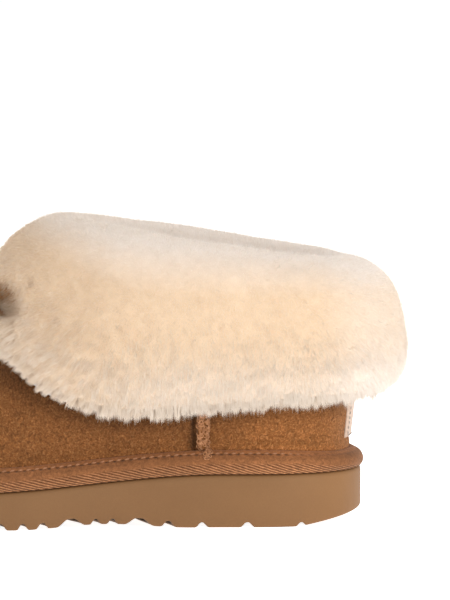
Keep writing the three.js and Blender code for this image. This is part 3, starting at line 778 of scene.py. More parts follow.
def stitch_mesh():
    """Stitches at even steps round the sole's edge, drawn down into the tape round the heel."""
    length = float(ring_length(np.array(1.0)))
    number = round(length / STITCH_PITCH)
    fine = np.linspace(0, 1, OUTLINE_FINE)
    measured = ring_length(fine)
    share = np.linspace(-0.5, 0.5, STITCH_STEPS)
    made = []
    for i in range(number):
        middle = (i + 0.5) * length / number
        u = np.interp(middle + STITCH_LENGTH * share, measured, fine)
        sunk = STITCH_SUNK * (1 - smooth_step(min(middle, length - middle), *STITCH_SUNK_HEEL))
        lift = STITCH_ARCH * np.cos(np.pi * share) - sunk
        height = STITCH_HEIGHT + lift - 2 * STITCH_SLANT * share
        made.append(thread(binding_point(u, STITCH_OUT + lift, height), STITCH_RADIUS))
    return join_parts(made)


def thread_finish(name, fuzz, dark, light, twist=0, relief=0.0, **feel):
    """Spun thread, uneven in colour; a twist gives its yarn a relief."""
    material, tree, shader = new_finish(name, **feel)
    spun = colour_ramp(tree, noise(tree, fuzz, 2), [(0.3, dark), (0.7, light)])
    tree.links.new(spun, shader.inputs["Base Color"])
    if twist:
        add_bump(tree, shader, noise(tree, twist, 1), 0.0002, relief)
    return material


tape_points, tape_faces, tape_uv = binding_mesh()
binding = make_piece("twill_binding", tape_points, tape_faces, twill_finish(), {"tape": tape_uv})
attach(binding, "root")
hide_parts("binding")
sewing_thread = thread_finish(
    "sewing_thread", 900, (0.24, 0.10, 0.042), (0.38, 0.178, 0.083), 3200, 0.4,
    roughness=0.6, sheen=0.1, specular=0.3,
)
stitches = make_piece("binding_stitches", *stitch_mesh(), sewing_thread)
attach(stitches, "root")

# Side seams
# On each side the edges of vamp and quarter are sewn together under a narrow raised strip of suede. Looped
# thread lies over the strip, so that it looks knobbly.
SEAM_X, SEAM_WIDTH, SEAM_RAISED = 70, 5.4, 1.7
SEAM_HEIGHTS, SEAM_SUNK = (34, 62), 0.3
SEAM_ROWS, SEAM_OVER, SEAM_UNDER = 40, 17, 7
SEAM_LOOPS, TAPE_LOOPS, LOOP_RADIUS, LOOP_THREAD, LOOP_STEPS = 130, 30, 0.8, 0.26, 10
LOOP_ROW, LOOP_SCATTER, TAPE_SCATTER, TAPE_LOOP_SIZE = 0.26, 0.16, 0.0023, 0.75
# The way down over the tape's roll: share of the way, distance out of the sole's outline and height
OVER_TAPE = ([0, 0.35, 0.7, 1], [-4.6, -2.5, -0.7, 0.5], [10.4, 9.6, 8.4, 6.8])


def place_on_upper(wanted, height, axis, start, end):
    """u and t on the upper at a height, where a coordinate that grows from u = start to end has a value."""
    wanted, height = np.broadcast_arrays(np.asarray(wanted, float), np.asarray(height, float))

    def is_under(u):
        return upper_point(u, row_at_height(u, height))[..., axis] < wanted

    u = halved(np.full(wanted.shape, float(start)), np.full(wanted.shape, float(end)), 24, is_under)
    return u, row_at_height(u, height)


def facing_out(points, faces):
    """A closed mesh with its faces turned outward."""
    a, b, c = (points[faces[:, i]] for i in range(3))
    volume = np.einsum("ij,ij->i", a, np.cross(b, c)).sum()
    return points, (faces if volume > 0 else faces[:, ::-1])


def strip_mesh(across, raised, heights, axis, face):
    """A closed strip up the upper: a loop of places across it, and how far each stands off the suede."""
    u, t = place_on_upper(np.asarray(across)[None, :], np.asarray(heights)[:, None], axis, *face)
    points = upper_point(u, t) + upper_normal(u, t) * np.broadcast_to(raised, u.shape)[..., None]
    return facing_out(points.reshape(-1, 3), np.concatenate([band_faces(*u.shape), *end_caps(*u.shape)]))


def seam_mesh(face):
    half = SEAM_WIDTH / 2
    over = np.linspace(-half, half, SEAM_OVER)
    under = np.linspace(half, -half, SEAM_UNDER + 2)[1:-1]
    raised = np.concatenate([SEAM_RAISED * np.sqrt(1 - (over / half) ** 2), 0 * under - SEAM_SUNK])
    across = SEAM_X + np.concatenate([over, under])
    return strip_mesh(across, raised, np.linspace(*SEAM_HEIGHTS, SEAM_ROWS), 0, face)


def seam_loops(face, rng):
    """Small curls of thread, thrown over the strip in two rough rows and on over the tape below it."""
    made = []
    heights = np.linspace(SEAM_HEIGHTS[0] + 0.6, SEAM_HEIGHTS[1] - 1, SEAM_LOOPS)
    in_row = LOOP_ROW * np.where(np.arange(SEAM_LOOPS) % 2, 1, -1)
    across = SEAM_WIDTH * (in_row + rng.uniform(-LOOP_SCATTER, LOOP_SCATTER, SEAM_LOOPS))
    u, t = place_on_upper(SEAM_X + across, heights, 0, *face)
    stand = SEAM_RAISED * np.sqrt(1 - np.clip(2 * across / SEAM_WIDTH, -0.95, 0.95) ** 2)
    middle = upper_point(u, t) + upper_normal(u, t) * (stand + 0.05)[:, None]
    out = upper_normal(u, t)
    down = np.sort(rng.random(TAPE_LOOPS))
    foot = u[0] + TAPE_SCATTER * rng.uniform(-1, 1, TAPE_LOOPS)
    share, *places = OVER_TAPE
    reach, height = (np.interp(down, share, place) for place in places)
    middle = np.concatenate([middle, binding_point(foot, reach, height)])
    out = np.concatenate([out, unit(upper_normal(foot, 0 * foot + 0.05) + np.array([0, 0, 0.8]))])
    along = unit(np.cross(out, np.array([0.0, 0.0, 1.0])))
    up = np.cross(along, out)
    for i in range(len(middle)):
        angle = rng.uniform(0, 2 * np.pi) + np.linspace(0, rng.uniform(3.6, 5.6), LOOP_STEPS)
        size = LOOP_RADIUS * rng.uniform(0.75, 1.2) * (1 if i < SEAM_LOOPS else TAPE_LOOP_SIZE)
        lift = 0.35 * np.sin(np.linspace(0, np.pi, LOOP_STEPS)) + rng.uniform(-0.1, 0.25)
        curl = along[i] * (size * np.cos(angle))[:, None] + up[i] * (1.15 * size * np.sin(angle))[:, None]
        made.append(thread(middle[i] + curl + out[i] * lift[:, None], LOOP_THREAD, sides=5))
    return join_parts(made)


seam_thread = thread_finish(
    "seam_thread", 700, (0.27, 0.112, 0.045), (0.50, 0.245, 0.118), 2600, 0.5,
    roughness=0.9, sheen=0.2, sheen_tint=(1, 0.75, 0.55), specular=0.12,
)
for side, face in (("outer", OUTER_FACE), ("inner", INNER_FACE)):
    seam = make_piece(f"{side}_seam_strip", *seam_mesh(face), suede)
    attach(seam, "root")
    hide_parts(f"side_seam_{side}")
    loop_random = np.random.default_rng(11)
    loops = make_piece(f"{side}_seam_loops", *seam_loops(face, loop_random), seam_thread)
    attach(loops, "root")

# Heel label
# A blank patch of pale woven cloth on the middle of the heel, with its top edge under the cuff. It is sewn
# to the suede round its edge with grey thread.
LABEL_WIDTH, LABEL_RAISED, LABEL_SUNK = 22, 1.2, 0.2
LABEL_HEIGHTS, LABEL_FOOT, LABEL_SQUARE = (36, 62), 0.9, 9
LABEL_MARGIN, LABEL_ROWS, LABEL_OVER, LABEL_UNDER = 1.4, 56, 49, 15
LABEL_STITCH_PITCH, LABEL_STITCH, LABEL_STITCH_ARCH, LABEL_THREAD = 2.2, 1.4, 0.18, 0.2
HEEL_FACE = (-0.12, 0.12)
WEAVE_THREADS = 1900


def label_mesh():
    half = LABEL_WIDTH / 2
    over = np.linspace(-half, half, LABEL_OVER)
    under = np.linspace(half, -half, LABEL_UNDER + 2)[1:-1]
    heights = np.linspace(*LABEL_HEIGHTS, LABEL_ROWS)
    edge = np.sqrt(1 - np.abs(over / half) ** LABEL_SQUARE)
    rise = np.sqrt(np.clip((heights - heights[0]) / LABEL_FOOT, 0, 1))
    back = np.full((LABEL_ROWS, LABEL_UNDER), -LABEL_SUNK)
    raised = np.concatenate([edge[None] * rise[:, None] * LABEL_RAISED, back], 1)
    return strip_mesh(np.concatenate([over, under]), raised, heights, 1, HEEL_FACE)


def label_stitches():
    """Short stitches down both sides of the label and along its lower edge."""
    side = LABEL_WIDTH / 2 - LABEL_MARGIN
    low = LABEL_HEIGHTS[0] + LABEL_MARGIN
    heights = np.arange(low + 1.2, LABEL_HEIGHTS[1], LABEL_STITCH_PITCH)
    places = [(y, z, 0, 1) for y in (-side, side) for z in heights]
    places += [(y, low, 1, 0) for y in np.arange(-side + 0.6, side, LABEL_STITCH_PITCH)]
    share = np.linspace(-0.5, 0.5, 6)
    run = LABEL_STITCH * share
    arch = LABEL_RAISED + 0.05 + LABEL_STITCH_ARCH * np.cos(np.pi * share)
    made = []
    for y, z, along, up in places:
        u, t = place_on_upper(y + along * run, z + up * run, 1, *HEEL_FACE)
        made.append(thread(upper_point(u, t) + upper_normal(u, t) * arch[:, None], LABEL_THREAD, sides=6))
    return join_parts(made)


def label_finish():
    material, tree, shader = new_finish("label_cloth", 0.8, sheen=0.2, specular=0.2)
    place = tree.nodes.new("ShaderNodeTexCoord")
    weave = tree.nodes.new("ShaderNodeTexWave")
    weave.bands_direction = "Z"
    weave.inputs["Scale"].default_value = WEAVE_THREADS / 20
    weave.inputs["Distortion"].default_value = 0.6
    tree.links.new(place.outputs["Object"], weave.inputs["Vector"])
    pale = colour_ramp(tree, noise(tree, 900, 2), [(0.3, (0.475, 0.35, 0.27)), (0.7, (0.57, 0.425, 0.335))])
    tree.links.new(pale, shader.inputs["Base Color"])
    under = add_bump(tree, shader, weave.outputs["Fac"], 0.0002, 0.5)
    add_bump(tree, shader, noise(tree, 1800, 1), 0.0002, 0.5, under)
    return material


label = make_piece("blank_heel_label", *label_mesh(), label_finish())
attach(label, "root")
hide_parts("heel_label")
grey_thread = thread_finish(
    "grey_thread", 900, (0.26, 0.23, 0.21), (0.42, 0.38, 0.35), roughness=0.7, specular=0.2,
)
label_sewing = make_piece("label_stitches", *label_stitches(), grey_thread)
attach(label_sewing, "root")

# Lining
# The wool side of the skin, which lines the upper from the insole to the cuff. It is clipped shorter than
# the cuff's fur and lies in soft lumps.
LINING_THICK, LINING_LUMP, LUMP_SIZE = 4.5, 0.9, 5
LINING_AROUND, LINING_ROWS = 180, 30
LIP_DEPTH = 13
LINING_HAIRS, LINING_HAIR, LINING_HAIR_WIDTH, HAIR_ROLL = 9000, 5, (0.4, 0.7), 0.35
WOOL_SCATTER, WOOL_TILT, WOOL_CURL, WOOL_BEND, WOOL_END = 0.7, 0.5, 0.6, 0.5, 0.4


def lining_mesh():
    turns = np.arange(LINING_AROUND) / LINING_AROUND
    foot = upper_point(turns, 0 * turns)[..., 2] + INSOLE_THICKNESS - 1
    low = row_at_height(turns, foot)
    high = row_at_height(turns, collar_point(turns)[..., 2] - LIP_DEPTH + 3)
    share = np.linspace(0, 1, LINING_ROWS)[:, None]
    t = low + (high - low) * share
    face, normal = upper_point(turns[None], t), upper_normal(turns[None], t)
    thick = LINING_THICK + LINING_LUMP * lumps(face, LUMP_SIZE)
    inner = face - normal * (WALL + thick * np.sqrt(np.clip(share / 0.06, 0.1, 1)))[..., None]
    outer = face - normal * (WALL + 0.2)
    rings = np.concatenate([outer, inner[::-1]])
    return rings.reshape(-1, 3), band_faces(len(rings), LINING_AROUND, closed_rows=True), inner, -normal


def hair_mesh(root, bends, tip, out, width, shade, rng, dark=0.0):
    """Flat hairs that taper from root over bends to tip and lie with their faces outward. One UV holds a
    hair's shade and the share of its length, less its darkness. The other gives it a cell of its own."""
    rows = np.stack([root, *bends], 1)
    count, levels = rows.shape[:2]
    way = unit(np.diff(np.concatenate([rows, tip[:, None]], 1), axis=1))
    side = unit(np.cross(way, out[:, None] + HAIR_ROLL * rng.normal(size=(count, 1, 3))))
    side = side * (0.5 * width)[:, None, None]
    points = np.stack([rows - side, rows + side], 2).reshape(count, -1, 3)
    points = np.concatenate([points, tip[:, None]], 1)
    corners = []
    for level in range(levels - 1):
        low = 2 * level
        corners += [(low, low + 1, low + 3), (low, low + 3, low + 2)]
    corners.append((2 * levels - 2, 2 * levels - 1, 2 * levels))
    size = 2 * levels + 1
    faces = (np.arange(count) * size)[:, None, None] + np.array(corners)[None]
    share = np.append(np.repeat(np.arange(levels) / levels, 2), 1.0)
    along = share[None] - np.broadcast_to(dark, count)[:, None]
    shade_uv = np.stack(np.broadcast_arrays(shade[:, None], along), -1)
    cells = math.ceil(math.sqrt(count))
    corner = np.stack([np.arange(count) % cells, np.arange(count) // cells], -1)[:, None]
    within = np.stack([np.append(np.tile([0.2, 0.8], levels), 0.5), 0.1 + 0.8 * share], -1)[None]
    cell_uv = (corner + within) / cells
    uv = {"hair": shade_uv.reshape(-1, 2), "OFBake": cell_uv.reshape(-1, 2)}
    return points.reshape(-1, 3), faces.reshape(-1, 3), uv


def soften(shader):
    """Light spreads from hair to hair, as it does in deep wool."""
    shader.subsurface_method = "BURLEY"
    shader.inputs["Subsurface Weight"].default_value = 1
    shader.inputs["Subsurface Radius"].default_value = (1, 0.75, 0.55)
    shader.inputs["Subsurface Scale"].default_value = 0.006


def blend(tree, first, second, share):
    """A colour that goes from the first to the second as share goes from 0 to 1."""
    mixed = tree.nodes.new("ShaderNodeMix")
    mixed.data_type = "RGBA"
    tree.links.new(share, mixed.inputs["Factor"])
    tree.links.new(first, mixed.inputs["A"])
    tree.links.new(second, mixed.inputs["B"])
    return mixed.outputs["Result"]


def hair_finish(name, stops, pale_stops, sheen, front=1.0):
    """Wool whose colour goes along each hair from root to tip; some hairs are paler than others, and those
    over the front of the boot are painted lighter, painted light on the side away from the lamp."""
    material, tree, shader = new_finish(name, 0.75, sheen=sheen, sheen_tint=(1, 0.95, 0.9), specular=0.12)
    paler, up_hair = uv_parts(tree, "hair")
    cream = colour_ramp(tree, up_hair, stops)
    cream = blend(tree, cream, colour_ramp(tree, up_hair, pale_stops), paler)
    # Painted light: colour is raised over the front of the boot, away from the lamp.
    cream = shade_by(tree, cream, along_boot(tree, [(0.25, 0), (0.55, 1)]), 1, front)
    tree.links.new(cream, shader.inputs["Base Color"])
    return material


lining_points, lining_faces, lining_face, lining_out = lining_mesh()
lining = make_piece("fleece_lining", lining_points, lining_faces, fleece)
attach(lining, "root")
lining_random = np.random.default_rng(23)
rows_at = lining_random.integers(2, LINING_ROWS, LINING_HAIRS)
turns_at = lining_random.integers(0, LINING_AROUND, LINING_HAIRS)
hair_out = lining_out[rows_at, turns_at]
hair_root = lining_face[rows_at, turns_at] + lining_random.normal(0, WOOL_SCATTER, (LINING_HAIRS, 3))
hair_way = unit(hair_out + lining_random.normal(0, WOOL_TILT, (LINING_HAIRS, 3)))
hair_bend = hair_root + hair_way * LINING_HAIR * WOOL_BEND
hair_curl = hair_way + lining_random.normal(0, WOOL_CURL, (LINING_HAIRS, 3))
hair_tip = hair_bend + hair_curl * LINING_HAIR * WOOL_END
wool_stops = [(0.1, (0.62, 0.44, 0.28)), (1.0, (0.80, 0.66, 0.50))]
pale_wool_stops = [(0.1, (0.68, 0.50, 0.33)), (1.0, (0.86, 0.74, 0.58))]
hair_width = lining_random.uniform(*LINING_HAIR_WIDTH, LINING_HAIRS)
hair_pale = lining_random.random(LINING_HAIRS)
wool = hair_mesh(hair_root, [hair_bend], hair_tip, hair_out, hair_width, hair_pale, lining_random)
wool_finish = hair_finish("lining_wool", wool_stops, pale_wool_stops, 0.3)
lining_wool = make_piece("lining_wool", *wool[:2], wool_finish, wool[2])
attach(lining_wool, "root")

# Fur cuff
# The top of the shaft, turned down over the outside with its long wool outward. The skin hooks over the
# collar edge; the hair stands out from it, hangs over at the hem and parts into pointed locks there.
TOP_PILE, LINING_PILE = 17.5, 9
FUR_AROUND, FUR_UP = 240, 72
INSTEP_TURNS = (105, 165)
DENT_X, DENT_HEIGHT, DENT_HALF, DENT_DEPTH = (146, 162), 101, 6.5, 13
FACE_SMOOTHING, FACE_LUMP, FACE_LUMP_SIZE = 6, 0.45, 13
UNDERCOAT_RAISED, UNDERCOAT_LUMP, UNDERCOAT_LUMP_SIZE = 3.5, 0.35, 4
UNDERCOAT_INSET = ([0, 0.08, 0.2, 0.45, 0.7, 1], [0.5, 1.8, 1.5, 1.3, 1.2, 1.0])
SKIN_GAP, SKIN_OVER_COLLAR = 0.3, 0.4

# Where the fur is pale: by the share of the way up, at the back, and along the hem away from the toe. Over
# the collar this is a painted reflection of the sky and at the back painted light on its rim.
PALE_TOP = ([0, 0.3, 0.5, 0.68], [0.3, 0, 0.05, 1])
PALE_BEHIND, BEHIND = 0.4, (-24, 6)
PALE_HEM, OFF_TOE, PALE_HEM_UP, PALE_HEM_HALF = 0.25, (-130, -70), 0.2, 0.1

# Along the fur's section from the hem: lean towards the hem, length, sideways tilt, drawing together
# into locks and hang
FUR_LEAN = ([0, 0.1, 0.25, 0.45, 0.7, 1], [2.6, 2.5, 2.1, 1.4, 1.0, 0.7])
FUR_LENGTH = ([0, 0.1, 0.3, 0.5, 0.7, 1], [15, 17, 16, 12, 10, 8])
FUR_TILT = ([0, 0.25, 0.6, 1], [0.3, 0.28, 0.14, 0.12])
FUR_DRAW = ([0, 0.2, 0.45, 0.6, 1], [0.62, 0.5, 0.25, 0.12, 0.1])
FUR_HANG = ([0, 0.1, 0.25, 0.4], [1, 0.9, 0.5, 0])

# How thickly the hairs stand along the same way, how many there are and how wide
BODY_SPREAD = ([0.04, 0.3], [0, 1])
FUZZ_SPREAD = ([0.02, 0.3], [0.6, 1])
HEM_SPREAD = ([0, 0.14, 0.42], [1, 1, 0])
LONG_HAIRS, SHORT_HAIRS, HEM_HAIRS, LOCKS = 50000, 175000, 33000, 5000
HAIR_WIDTH = (0.16, 0.28)

# The fur fans forward over the toe side and back over the heel. It is wild over the front and along the
# hem, where its locks stand apart, and tidy elsewhere.
FAN_FRONT, FAN_BACK, FAN, BACK_FAN = (105, 152), (-34, 8), 1.2, 0.5
WILD_FRONT, WILD_HEM, WILD_HEM_UP = (60, 145), 0.7, (0.06, 0.2)

# Each lock leans, stands up and hangs by its own share. Each hair strays from its lock and bends at a knee,
# some hang longer, and at the hem they droop and part in gaps, with a shorter hang over the instep.
LOCK_LEAN, LOCK_HEIGHT, LOCK_HANG, LOCK_HANG_CURVE = 0.25, 0.3, (0.3, 4), 1.8
STRAY, STRAY_UP, FRIZZ, KNEE = 0.7, (0.05, 0.2), 0.22, 0.55
DROOP, DROOP_UP, AT_HEM_UP = 1.8, (0.02, 0.3), (0.1, 0.2)
LONG_HANG, LONG_HANG_SHARE = 2, 0.08
INSTEP_HANG, INSTEP_X, HEM_GAP, HEM_GAP_PART = 0.65, (105, 135), 2.5, (0.25, 0.6)

# Section of the fur's face from under the hem to the collar edge: share of the way up, and depth as a
# share of the pile at the sides and over the instep
CUFF_SIDE = [
    (0.03, 0.03, 0.03), (0, 0.16, 0.16), (0, 0.3, 0.3), (0.05, 0.6, 0.46), (0.14, 0.8, 0.6),
    (0.3, 0.95, 0.74), (0.55, 1, 0.9), (0.8, 0.97, 0.95), (1, 0.89, 0.94),
]
# Section over the collar edge: shares of the pile outward, of wall and lining inward, and of the top pile
CUFF_TOP = [
    (0.74, 0, 0.42), (0.48, 0, 0.74), (0.18, 0, 0.95), (0, 0.5, 0.98), (0, 0.88, 0.72), (0, 1, 0.2),
    (0, 0.96, -0.6),
]


def fur_section(u):
    """Points of the fur's face at u: from under the hem up the outside, over the collar and down inside."""
    values = last_values(u)
    turn = 180 - np.abs(180 - values[..., TURN])
    instep = smooth_step(turn, *INSTEP_TURNS)
    hem = row_at_height(u, values[..., HEM])
    rows = []
    for up, depth, instep_depth in CUFF_SIDE:
        t = hem + (1 - hem) * up
        normal = upper_normal(u, t)
        level = unit(normal * (1, 1, 0))
        out = unit(normal + (level - normal) * (0.35 + 0.65 * up))
        reach = (depth + (instep_depth - depth) * instep) * values[..., PILE]
        rows.append(upper_point(u, t) + out * reach[..., None])
    level = unit(upper_normal(u, 1 + 0 * u) * (1, 1, 0))
    for outward, inward, rise in CUFF_TOP:
        reach = outward * values[..., PILE] - inward * (WALL + LINING_PILE)
        rows.append(collar_point(u) + level * reach[..., None] + np.array([0, 0, TOP_PILE * rise]))
    return np.stack(rows)


def fur_ways(face):
    """The ways out of the fur's face and up it."""
    round_ = np.roll(face, -1, 1) - np.roll(face, 1, 1)
    rising = np.gradient(face, axis=0)
    return unit(np.cross(rising, round_)), unit(rising)


def dented(points):
    """Share of the dent in the fur's front, where it parts over the instep and is painted dark brown as
    shade.
    """
    return smooth_step(points[..., 0], *DENT_X) * bell(points[..., 2], DENT_HEIGHT, DENT_HALF)


def paleness_and_painted_light(up, x):
    """How pale the fur is at a share of the way up: most over the collar, at the back and along the hem.
    Over the collar and at the back this is painted light.
    """
    behind = PALE_BEHIND * smooth_step(-x, *BEHIND)
    over_hem = PALE_HEM * smooth_step(-x, *OFF_TOE) * bell(up, PALE_HEM_UP, PALE_HEM_HALF)
    return np.interp(up, *PALE_TOP) + behind + over_hem


def fur_face():
    """The fur's face as an even grid, up its section and round the collar, and the ways out and up it."""
    section = fur_section(np.arange(FUR_AROUND) / FUR_AROUND)
    steps = np.linalg.norm(np.diff(section, axis=0), axis=-1)
    run = np.concatenate([np.zeros((1, FUR_AROUND)), np.cumsum(steps, 0)])
    run /= run[-1]
    even = np.linspace(0, 1, FUR_UP)
    face = np.empty((FUR_UP, FUR_AROUND, 3))
    for column in range(FUR_AROUND):
        for axis in range(3):
            face[:, column, axis] = np.interp(even, run[:, column], section[:, column, axis])
    for _ in range(FACE_SMOOTHING):
        face[1:-1] = (face[:-2] + 2 * face[1:-1] + face[2:]) / 4
    out = fur_ways(face)[0]
    uneven = FACE_LUMP * lumps(face, FACE_LUMP_SIZE) - DENT_DEPTH * dented(face)
    face = face + out * uneven[..., None]
    return face, *fur_ways(face)


def undercoat_mesh(face, normal):
    """The close wool under the long hairs, and the skin that hooks it over the collar edge."""
    up = np.linspace(0, 1, FUR_UP)[:, None, None]
    inset = np.interp(up, *UNDERCOAT_INSET)
    wool = face - normal * inset
    wool = wool + normal * (UNDERCOAT_LUMP * lumps(wool, UNDERCOAT_LUMP_SIZE))[..., None]
    wool[..., 2] += UNDERCOAT_RAISED * (1 - smooth_step(up[..., 0], 0.02, 0.14))
    turns = np.arange(FUR_AROUND) / FUR_AROUND
    lip = row_at_height(turns, collar_point(turns)[..., 2] - LIP_DEPTH + 1)
    hem = row_at_height(turns, last_values(turns)[..., HEM] + 1)
    inside, outside = -WALL - SKIN_GAP, SKIN_GAP
    rows = [(lip, inside), ((lip + 1) / 2, inside), (1 + 0 * lip, inside)]
    rows += [(hem + (1 - hem) * share, outside) for share in (1, 0.66, 0.33, 0)]
    skin = np.stack([upper_point(turns, t) + upper_normal(turns, t) * off for t, off in rows])
    skin[2:4, :, 2] += SKIN_OVER_COLLAR
    rings = np.concatenate([wool, skin])
    pale = paleness_and_painted_light(np.linspace(0, len(rings) / FUR_UP, len(rings))[:, None], rings[..., 0])
    pale_uv = np.stack([np.clip(pale, 0, 1) * (1 - dented(rings)), dented(rings)], -1).reshape(-1, 2)
    return *facing_out(rings.reshape(-1, 3), band_faces(len(rings), FUR_AROUND, closed_rows=True)), pale_uv


def undercoat_finish():
    material, tree, shader = new_finish("fur_undercoat", 1.0, 0.2, (1, 0.9, 0.8), specular=0.05)
    soften(shader)
    tuft = noise(tree, 240, 4, 0.65)
    peach = colour_ramp(tree, tuft, [(0.3, (0.58, 0.425, 0.285)), (0.65, (0.63, 0.47, 0.32))])
    pale = colour_ramp(tree, tuft, [(0.3, (0.69, 0.605, 0.53)), (0.65, (0.74, 0.655, 0.585))])
    paler, dent = uv_parts(tree, "pale")
    # Painted shade: the undercoat is painted darker in the dent.
    cream = shade_by(tree, blend(tree, peach, pale, paler), dent, 1, 0.35)
    tree.links.new(cream, shader.inputs["Base Color"])
    add_bump(tree, shader, tuft, 0.0015, 0.4)
    return material


def sampled(field, up, turn):
    """Values of a grid over the fur's face, at shares of the way up and round it."""
    row, column = up * (FUR_UP - 1), turn * FUR_AROUND
    j = np.minimum(row.astype(int), FUR_UP - 2)
    i = column.astype(int) % FUR_AROUND
    a, b = (row - j)[:, None], (column - np.floor(column))[:, None]
    low = field[j, i] * (1 - b) + field[j, (i + 1) % FUR_AROUND] * b
    high = field[j + 1, i] * (1 - b) + field[j + 1, (i + 1) % FUR_AROUND] * b
    return low * (1 - a) + high * a


def scattered(count, face, spread, rng):
    """Places spread over the fur's face, as thickly as the spread says along the way up it."""
    tall = np.linalg.norm(np.diff(face, axis=0), axis=-1)
    wide = np.linalg.norm(np.roll(face, -1, 1) - face, axis=-1)[:-1]
    middle = (np.arange(FUR_UP - 1) + 0.5) / (FUR_UP - 1)
    area = tall * wide * np.interp(middle, *spread)[:, None]
    cell = rng.choice(area.size, count, p=(area / area.sum()).ravel())
    row, column = np.divmod(cell, FUR_AROUND)
    return (row + rng.random(count)) / (FUR_UP - 1), (column + rng.random(count)) / FUR_AROUND


def nearest(places, centres):
    """For each place the index of the nearest centre."""
    tree = KDTree(len(centres))
    for index, centre in enumerate(centres):
        tree.insert(centre, index)
    tree.balance()
    return np.array([tree.find(place)[1] for place in places])


def fur_hairs(count, spread, levels, rng):
    """Hairs on a stretch of the fur's face: they stand out of the skin, lean towards the hem and draw
    together at their tips into locks."""
    up, turn = scattered(count, fur_grid, spread, rng)
    place, out = sampled(fur_grid, up, turn), unit(sampled(fur_out, up, turn))
    x = place[:, 0]
    droop = 1 - smooth_step(up, *DROOP_UP)
    flow = unit(-unit(sampled(fur_rising, up, turn)) + droop[:, None] * np.array([0, 0, -DROOP]))
    forward = (smooth_step(x, *FAN_FRONT) - BACK_FAN * smooth_step(-x, *FAN_BACK))[:, None]
    flow = unit(flow + FAN * forward * (np.array([1.0, 0, 0]) - out * out[:, :1]))
    strayed = rng.normal(0, STRAY, (count, 3)) * smooth_step(up, *STRAY_UP)[:, None]
    lock = nearest(place + strayed, lock_places)
    wild = np.maximum(smooth_step(x, *WILD_FRONT), WILD_HEM * (1 - smooth_step(up, *WILD_HEM_UP)))
    lean = np.interp(up, *FUR_LEAN) * (1 + lock_lean[lock] * wild)
    long = np.interp(up, *FUR_LENGTH) * rng.uniform(0.9, 1.05, count) * (0.5 if levels == 1 else 1)
    aside = rng.normal(0, 1, (count, 3))
    tilt = np.interp(up, *FUR_TILT) * (0.15 + 0.85 * wild)
    toward = unit(out + flow * lean[:, None] + lock_tilt[lock] * tilt[:, None] + 0.14 * aside)
    draw = (np.interp(up, *FUR_DRAW) * (0.2 + 0.8 * wild) * rng.uniform(0.6, 1.1, count))[:, None]
    tip = place + rng.normal(0, 0.3, (count, 3)) + (lock_places[lock] - place) * draw
    tip += out * (lock_height[lock] * wild * (1 - smooth_step(up, 0.2, 0.4)))[:, None]
    hang = lock_hang[lock] * rng.uniform(0.55, 1, count)
    hang += LONG_HANG * (rng.random(count) < LONG_HANG_SHARE)
    at_hem = 1 - smooth_step(up, *AT_HEM_UP)
    hang *= (1 - INSTEP_HANG * smooth_step(x, *INSTEP_X)) * (1 + 0.5 * at_hem * lumps(place, 6))
    hang -= HEM_GAP * at_hem * smooth_step(lumps(place * (1, 1, 0.3), 5), *HEM_GAP_PART)
    tip += flow * (np.interp(up, *FUR_HANG) * hang)[:, None]
    root = place - (0.55 * out + 0.45 * toward) * long[:, None]
    knee = root + out * KNEE * long[:, None]
    bends = []
    for share in np.arange(1, levels) / levels:
        bend = (1 - share) ** 2 * root + 2 * share * (1 - share) * knee + share**2 * tip
        bends.append(bend + rng.normal(0, FRIZZ, (count, 3)))
    width = rng.uniform(*HAIR_WIDTH, count) * (1.2 if levels == 1 else 1)
    pale = paleness_and_painted_light(up, x) + rng.normal(0, 0.12, count) + 0.3 * wild * lock_pale[lock]
    pale = np.clip(pale, 0, 1)
    # In the dent the hairs take their brown root colour along their whole length, as painted shade.
    dark = dented(place) - 0.3 * (1 - wild) + 0.4 * wild * rng.random(count)
    return hair_mesh(root, bends, tip, out, width, pale, rng, dark)


def dimmed(stops, share):
    """The same colours at a share of their brightness."""
    return [(position, tuple(share * c for c in colour)) for position, colour in stops]


fur_grid, fur_out, fur_rising = fur_face()
lock_random = np.random.default_rng(5)
lock_up, lock_turn = scattered(LOCKS, fur_grid, ([0, 1], [1, 1]), lock_random)
lock_places = sampled(fur_grid, lock_up, lock_turn) + 0.8 * unit(sampled(fur_out, lock_up, lock_turn))
lock_tilt = lock_random.normal(0, 1, (LOCKS, 3))
lock_lean = lock_random.uniform(-LOCK_LEAN, LOCK_LEAN, LOCKS)
lock_height = lock_random.normal(0, LOCK_HEIGHT, LOCKS)
lock_hang = LOCK_HANG[0] + LOCK_HANG[1] * lock_random.random(LOCKS) ** LOCK_HANG_CURVE
lock_pale = lock_random.random(LOCKS)

undercoat_points, undercoat_faces, undercoat_pale = undercoat_mesh(fur_grid, fur_out)
undercoat = make_piece(
    "fur_undercoat", undercoat_points, undercoat_faces, undercoat_finish(), {"pale": undercoat_pale},
)
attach(undercoat, "root")
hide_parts("fur_cuff")
fur_stops = [
    (0.0, (0.25, 0.115, 0.042)), (0.3, (0.61, 0.445, 0.30)),
    (0.65, (0.64, 0.50, 0.355)), (1.0, (0.69, 0.59, 0.475)),
]
pale_fur_stops = [
    (0.0, (0.25, 0.13, 0.06)), (0.3, (0.74, 0.65, 0.575)),
    (0.65, (0.80, 0.73, 0.655)), (1.0, (0.86, 0.80, 0.745)),
]
long_wool = hair_finish("long_wool", fur_stops, pale_fur_stops, 0.5, 1.04)
